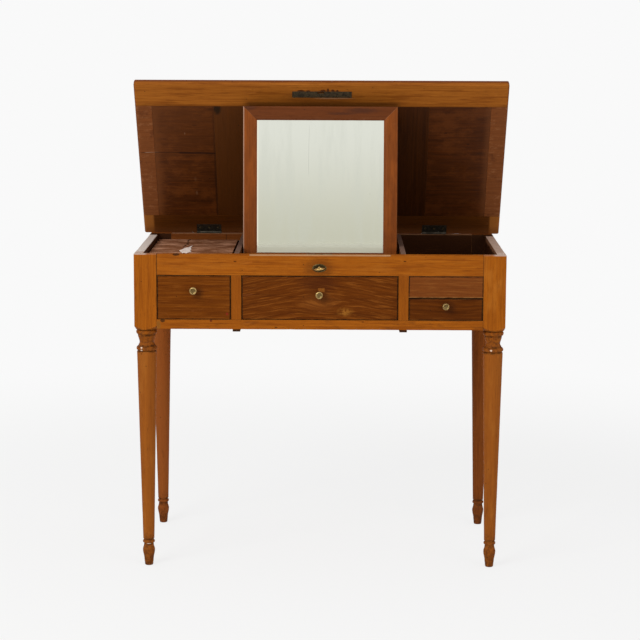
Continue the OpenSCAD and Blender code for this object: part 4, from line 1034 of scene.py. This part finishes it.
frame_common = dict(face=mirror_out, worn=(0.40, 0.20, 0.10), wear=0.35, gloss=0.45, shine=0.08, worm=0.25)
stile_wood = wood("stile_wood", (0.23, 0.060, 0.010), (0.12, 0.027, 0.004), along=mirror_up,
                  centre=on_mirror(0, 0.18), pith=(0, -0.3, -0.03), rings=0.5, finish=stile_marks,
                  **frame_common)
head_wood = wood("head_wood", (0.150, 0.040, 0.009), (0.080, 0.019, 0.004), centre=on_mirror(0, 0.36),
                 pith=(0, -0.6, -0.03), finish=head_marks, **frame_common)
for name, node, material in (("mirror_sides", "mirror_stiles", stile_wood),
                             ("mirror_head", "mirror_top_rail", head_wood),
                             ("mirror_foot", "mirror_foot_rail", head_wood)):
    board(name, material, "mirror", node, arris=0.0005, every=0.012, dent=0.0002, seed=22)

silvering = Coat("old_silvering", (0.585, 0.585, 0.465))
up_glass = reckon("DOT_PRODUCT", silvering.place - pivot, mirror_up)
streak = cloudy(silvering.place, (38, 38, 4.5), 3.0, 0.6)
# Painted reflection: the plate is laid lighter towards its top.
silvering.lay(ramp(up_glass, 0.02, 0.34), (0.77, 0.785, 0.70))
silvering.lay(ramp(streak, 0.42, 0.66), (0.62, 0.64, 0.56), 0.25)
hair = abs(silvering.x + cloudy(silvering.place, 6) * 0.008 + 0.0251)
silvering.lay(ramp(hair, 0.0007, 0.0003) * band(up_glass, 0.205, 0.32, 0.01), (0.30, 0.31, 0.27), 0.3)
foxing = put(silvering.tree, "ShaderNodeTexVoronoi", {"Vector": silvering.place, "Scale": 34.0}).outputs
rare = reckon("LESS_THAN", parts(Value(foxing["Color"]))[0], 0.09)
silvering.lay(ramp(Value(foxing["Distance"]), 0.07, 0.03) * rare, (0.32, 0.31, 0.25), 0.35)
sound = ramp(up_glass + cloudy(silvering.place, 30) * 0.005, 0.026, 0.050)
silvering.lay(1.0 - sound, (0.70, 0.705, 0.565))
stile_width = 0.0335
glass_edge = stile_edge + stile_width
silvering.lay(ramp(silvering.x, glass_edge + 0.0036, glass_edge + 0.0022), (0.95, 0.90, 0.72), 0.8)
feed(silvering.shader["Metallic"], ramp(sound, 0.0, 1.0, 0.05, 1.0))
glass = silvering.finished(ramp(streak, 0.3, 0.75, 0.05, 0.12), {})
board("mirror_plate", glass, "mirror", "mirror_glass", arris=0.0006, every=0.0, dent=0.0)

back_pine = wood("back_pine", (0.34, 0.17, 0.065), (0.19, 0.08, 0.028), along=mirror_up, face=-mirror_out,
                 centre=on_mirror(0, 0.18, -0.01), pith=(0, -0.1, -0.06), spacing=0.006, rings=0.9,
                 gloss=0.65, shine=0.1, worn=(0.45, 0.28, 0.14),
                 knots=((on_mirror(0.07, 0.25, -0.008), 0.014, 0.8),))
board("mirror_back", back_pine, "mirror", "mirror_backboard", arris=0.0005, every=0.03,
      dent=0.0)
for name, node, body in (("pivots", "mirror_pivots", "mirror_pivots"),
                         ("prop_hinge", "strut_hinge", "mirror")):
    board(name, brass, body, node, arris=0.0004, every=0.0, dent=0.0)

# ---- Strut
# A plain strip behind the mirror, hinged to its backboard, whose foot stands on the floor of the well
# and holds the mirror at its lean.

strut_wood = wood("strut_wood", (0.27, 0.085, 0.018), (0.14, 0.036, 0.008), along=(0, 0.26, -0.966),
                  face=(0, 0.966, 0.26), gloss=0.6, wear=0.5, worn=(0.38, 0.2, 0.09))
board("prop", strut_wood, "strut", "mirror_strut", seed=24)

# ---- Compartment cover
# A thin worn board that lies over the left well on two pins and a ledge. Its surface has lost most of
# its finish and is cracked at the back. A torn scrap of blank paper lies on it.

cover_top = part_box("compartment_cover")[1].z


def cover_marks(coat):
    """Bare greyish patches and a crack towards the back."""
    coat.lay(coat.cloud((12, 27, 27), 0.42, 0.64, 0.9, 0.0, 5.0, 0.75), (0.66, 0.340, 0.205))
    crack = abs(coat.x + cloudy(coat.place, 30, 3.0) * 0.03 + 0.325)
    coat.lay(ramp(crack, 0.003, 0.0012) * ramp(coat.y, 0.02, 0.07), (0.012, 0.005, 0.002), 0.9)


cover_wood = wood("cover_wood", (0.33, 0.130, 0.056), (0.078, 0.025, 0.009), face=(0, 0, 1), streaks=0.2,
                  centre=(-0.32, 0, 0.747), pith=(0, -0.2, -0.05), worn=(0.3, 0.17, 0.1), wear=0.6, gloss=0.6,
                  finish=cover_marks)
board("cover_board", cover_wood, "cover", "compartment_cover", arris=0.001, seed=25)
board("cover_pivots", iron, "cover", "cover_pins", arris=0.0003, every=0.0, dent=0.0)

paper = Coat("torn_paper", (0.95, 0.84, 0.77))
pulp = paper.cloud(90, 0.35, 0.65, detail=5.0)
paper.lay(pulp, (0.84, 0.68, 0.60))
paper_stuff = paper.finished(ramp(pulp, 0.0, 1.0, 0.85, 0.95), {"Specular IOR Level": 0.1})
outline = ((-0.3455, -0.046), (-0.3433, -0.030), (-0.3414, -0.012), (-0.3357, 0.012), (-0.3290, 0.030),
           (-0.3215, 0.064), (-0.3222, 0.030), (-0.3186, -0.008), (-0.3200, -0.030), (-0.3153, -0.054),
           (-0.3210, -0.072), (-0.3247, -0.090), (-0.3300, -0.084), (-0.3345, -0.094), (-0.3380, -0.070))
shape = bmesh.new()
torn_edge = []
for i, start in enumerate(outline):
    for k in range(6):
        x, y = Vector(start).lerp(Vector(outline[(i + 1) % len(outline)]), k / 6)
        tear = noise.noise(Vector((x * 400, y * 400, 3.0))) * 0.0016
        torn_edge.append(shape.verts.new((x + tear, y + tear, 0)))
shape.faces.new(torn_edge)
for axis, step in ((0, 0.003), (1, 0.004)):
    normal = Vector((axis == 0, axis == 1, 0))
    base = min(v.co[axis] for v in shape.verts)
    top = max(v.co[axis] for v in shape.verts)
    for k in range(1, int((top - base) / step) + 1):
        cut(shape, normal * (base + k * step), normal)
for vert in shape.verts:
    curl = noise.noise(Vector((vert.co.x * 60, vert.co.y * 30, 7.0)))
    vert.co.z = cover_top + 0.0005 + 0.0022 * max(0, curl + 0.15)
bmesh.ops.solidify(shape, geom=shape.faces[:], thickness=0.00025)
bmesh.ops.recalc_face_normals(shape, faces=shape.faces)
piece("paper_scrap", shape, paper_stuff, "cover", [])

# ---- Drawers
# Three drawers: fronts of figured red wood with a worn light arris, thin pine sides, backs and bottoms,
# grooved and nailed. A square plug of orange wood fills an old hole over the middle knob.


def front_marks(side):
    """A painted shadow below and to the right of the knob, and a painted shade border."""
    def marks(coat):
        knob = middle(side + "_knob")
        # Painted shadow of the knob, cast below and to its right.
        coat.spot((knob.x + 0.008, front, knob.z - 0.006), (0.014, 0.02, 0.013), (0.045, 0.012, 0.003),
                  0.55, 0.6)
        if side == "left":
            coat.spot((-0.2194, front, 0.6201), (0.003, 0.02, 0.0035), (0.22, 0.02, 0.01), 0.7, 0.2)
        if side == "middle":
            middle_front_marks(coat)
        gap_shade_border(coat, side + "_drawer_front")
    return marks


def middle_front_marks(coat):
    """A dark cloud above the knob, wear round it, an orange blotch, and the plug."""
    coat.spot((-0.004, front, 0.694), (0.042, 0.02, 0.018), (0.055, 0.012, 0.003), 0.6, 0.6)
    coat.spot((-0.002, front, 0.650), (0.040, 0.02, 0.020), (0.26, 0.085, 0.016), 0.2, 0.6)
    fleck = coat.cloud((110, 110, 170), 0.36, 0.58)
    blotch = coat.near((0.0596, front, 0.6263), (0.014, 0.02, 0.008), 0.8)
    coat.lay(blotch * fleck, (0.34, 0.13, 0.018), 0.75)
    plug = band(coat.x, -0.0044, 0.0112, 0.0004) * band(coat.z, 0.6740, 0.6828, 0.0004)
    coat.lay(plug * ramp(fleck, 0.0, 1.0, 0.55, 0.85), (0.26, 0.085, 0.012))


def knob_marks(coat):
    """The hollow faces have gone dark inside their bright rims."""
    for side in ("left", "middle", "right"):
        face = middle(side + "_knob")
        face.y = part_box(side + "_knob")[0].y
        coat.spot(face, (0.0062, 0.006, 0.0062), (0.075, 0.045, 0.016), 0.8, 0.15)


front_common = dict(worn=(0.36, 0.16, 0.04), wear=0.35, reach=0.0026, gloss=0.5, shine=0.03, scratches=0.15,
                    worm=0.3, streaks=0.5)
left_front_wood = wood("left_front_wood", (0.190, 0.050, 0.003), (0.070, 0.0135, 0.001),
                       centre=(-0.3, front, 0.66), pith=(0, -0.32, -0.03), spacing=0.009, rings=0.8,
                       figure=0.45, gleam=(0.25, 0.075, 0.009), finish=front_marks("left"), **front_common)
middle_front_wood = wood("middle_front_wood", (0.165, 0.041, 0.003), (0.058, 0.0115, 0.001),
                         centre=(0, front, 0.66), pith=(0, -0.5, -0.02), spacing=0.009, wander=0.016,
                         rings=0.9, mottle=0.5, arch=0.19, figure=0.6, gleam=(0.27, 0.082, 0.010),
                         knots=(((0.006, front, 0.636), 0.020, 0.0),), finish=front_marks("middle"),
                         **front_common)
right_front_wood = wood("right_front_wood", (0.125, 0.030, 0.002), (0.046, 0.0095, 0.001),
                        centre=(0.3, front, 0.63), pith=(0, -0.2, -0.02), spacing=0.008, rings=0.9,
                        mottle=0.5, arch=-0.08, figure=0.3, gleam=(0.19, 0.055, 0.007),
                        finish=front_marks("right"), **front_common)
box_common = dict(pith=(0, -0.12, -0.05), rings=0.8, shine=0.1, worn=(0.56, 0.38, 0.2))
drawer_pine = wood("drawer_pine", (0.50, 0.28, 0.12), (0.31, 0.15, 0.055), along=(0, 1, 0), face=(1, 0, 0),
                   spacing=0.006, gloss=0.6, **box_common)
bottom_pine = wood("bottom_pine", (0.48, 0.27, 0.12), (0.30, 0.145, 0.055), face=(0, 0, 1), spacing=0.008,
                   gloss=0.62, **box_common)
knob_brass = metal("knob_brass", (0.62, 0.44, 0.17), (0.16, 0.095, 0.035), 0.26, patina=0.7,
                   finish=knob_marks)
knob_outline = ((0, -8), (2.4, -8), (2.6, 0.0), (6.4, 0.0), (6.6, 0.6), (6.0, 1.3), (4.2, 2.1), (3.7, 3.6),
                (3.9, 5.4), (5.2, 7.2), (7.4, 8.7), (8.9, 10.6), (9.35, 12.6), (9.3, 14.8), (8.9, 16.8),
                (8.2, 18.1), (7.3, 18.8), (6.5, 18.9), (5.9, 18.5), (5.4, 17.8), (4.4, 17.3), (2.2, 17.0),
                (0, 16.95))
knob_width = 18.7
for side, material, width, number in (
        ("left", left_front_wood, knob_width, 31), ("middle", middle_front_wood, knob_width, 32),
        ("right", right_front_wood, 17.0, 33)):
    body = side + "_drawer"
    board(body + "_face", material, body, body + "_front", arris=0.0014, every=0.010, dent=0.0009,
          seed=number)
    board(body + "_box", drawer_pine, body, body + "_boards", arris=0.0006, every=0.03,
          dent=0.0003)
    board(body + "_base", bottom_pine, body, body + "_bottom", arris=0.0005, every=0.03,
          dent=0.0)
    # The knob is turned brass, screwed through the front, with a waist and a worn, dished face.
    knob = turned([(r * width / knob_width, d) for r, d in knob_outline], (0, 0, 0), knob_brass, 56)
    knob_place = middle(side + "_knob")
    knob_place.y = front
    on_front = Matrix.Translation(knob_place) @ Matrix.Rotation(math.radians(90), 4, "X")
    bmesh.ops.transform(knob, matrix=on_front, verts=knob.verts)
    piece(side + "_knob_turned", knob, knob_brass, body, [side + "_knob"], smooth=0.9)

# ---- Floor, light and camera
# A plain pale floor that runs into a white background, soft light from the front left, and a camera
# a little above the table, in front of its middle.

background = 0.948


def seen_plain(tree):
    """One where the camera, or a reflection, looks at the background."""
    seen = put(tree, "ShaderNodeLightPath").outputs
    rays = [Value(seen[label]) for label in ("Is Camera Ray", "Is Glossy Ray", "Is Transmission Ray")]
    return reckon("MAXIMUM", rays[0], reckon("MAXIMUM", rays[1], rays[2]))


bpy.ops.mesh.primitive_circle_add(vertices=96, radius=9.0, fill_type="NGON")
ground = bpy.context.object
ground.name = "ground"
pale = bpy.data.materials.new("pale_floor")
pale.use_nodes = True
tree = pale.node_tree
tree.nodes.remove(tree.nodes["Principled BSDF"])
away = reckon("LENGTH", read(tree, "ShaderNodeTexCoord", output="Object"))
matt = read(tree, "ShaderNodeBsdfDiffuse", {"Color": (0.88, 0.88, 0.87)})
white = read(tree, "ShaderNodeEmission", {"Color": (background, background, background), "Strength": 1.0})
far = ramp(away, 0.9, 2.6, 0.80, 1.0) * seen_plain(tree)
mixed = read(tree, "ShaderNodeMixShader", {0: far, 1: matt, 2: white})
feed(tree.nodes["Material Output"].inputs["Surface"], mixed)
ground.data.materials.append(pale)

world = bpy.data.worlds.new("studio")
bpy.context.scene.world = world
world.use_nodes = True
tree = world.node_tree
sky = tree.nodes["Background"].inputs
feed(sky["Strength"], read(tree, "ShaderNodeMix", {0: seen_plain(tree), 2: 0.62, 3: background},
                           data_type="FLOAT"))
feed(sky["Color"], (1, 1, 1))


def stand(name, data):
    """Puts a lamp or camera in the scene."""
    holder = bpy.data.objects.new(name, data)
    bpy.context.scene.collection.objects.link(holder)
    return holder


for name, spot, power in (("key_light", (-2.6, -3.2, 3.0), 95), ("fill_light", (2.8, -3.0, 1.7), 30)):
    lamp = bpy.data.lights.new(name, "AREA")
    lamp.shape = "SQUARE"
    lamp.size = 2.2
    lamp.energy = power
    holder = stand(name, lamp)
    holder.location = spot
    holder.rotation_euler = (Vector((0, 0, 0.6)) - Vector(spot)).to_track_quat("-Z", "Y").to_euler()

focal_pixels, picture_width = 1949.6, 640
camera_place, pan, dip, roll = (0.0400, -4.7709, 1.3367), 0.496, 9.108, 0.205
eye = bpy.data.cameras.new("camera")
eye.sensor_width = 36.0
eye.lens = focal_pixels * eye.sensor_width / picture_width
viewer = stand("camera", eye)
viewer.matrix_world = (Matrix.Translation(camera_place) @ Matrix.Rotation(math.radians(pan), 4, "Z")
                       @ Matrix.Rotation(math.radians(90 - dip), 4, "X")
                       @ Matrix.Rotation(math.radians(roll), 4, "Z"))
bpy.context.scene.camera = viewer
bpy.context.scene.view_settings.view_transform = "Standard"
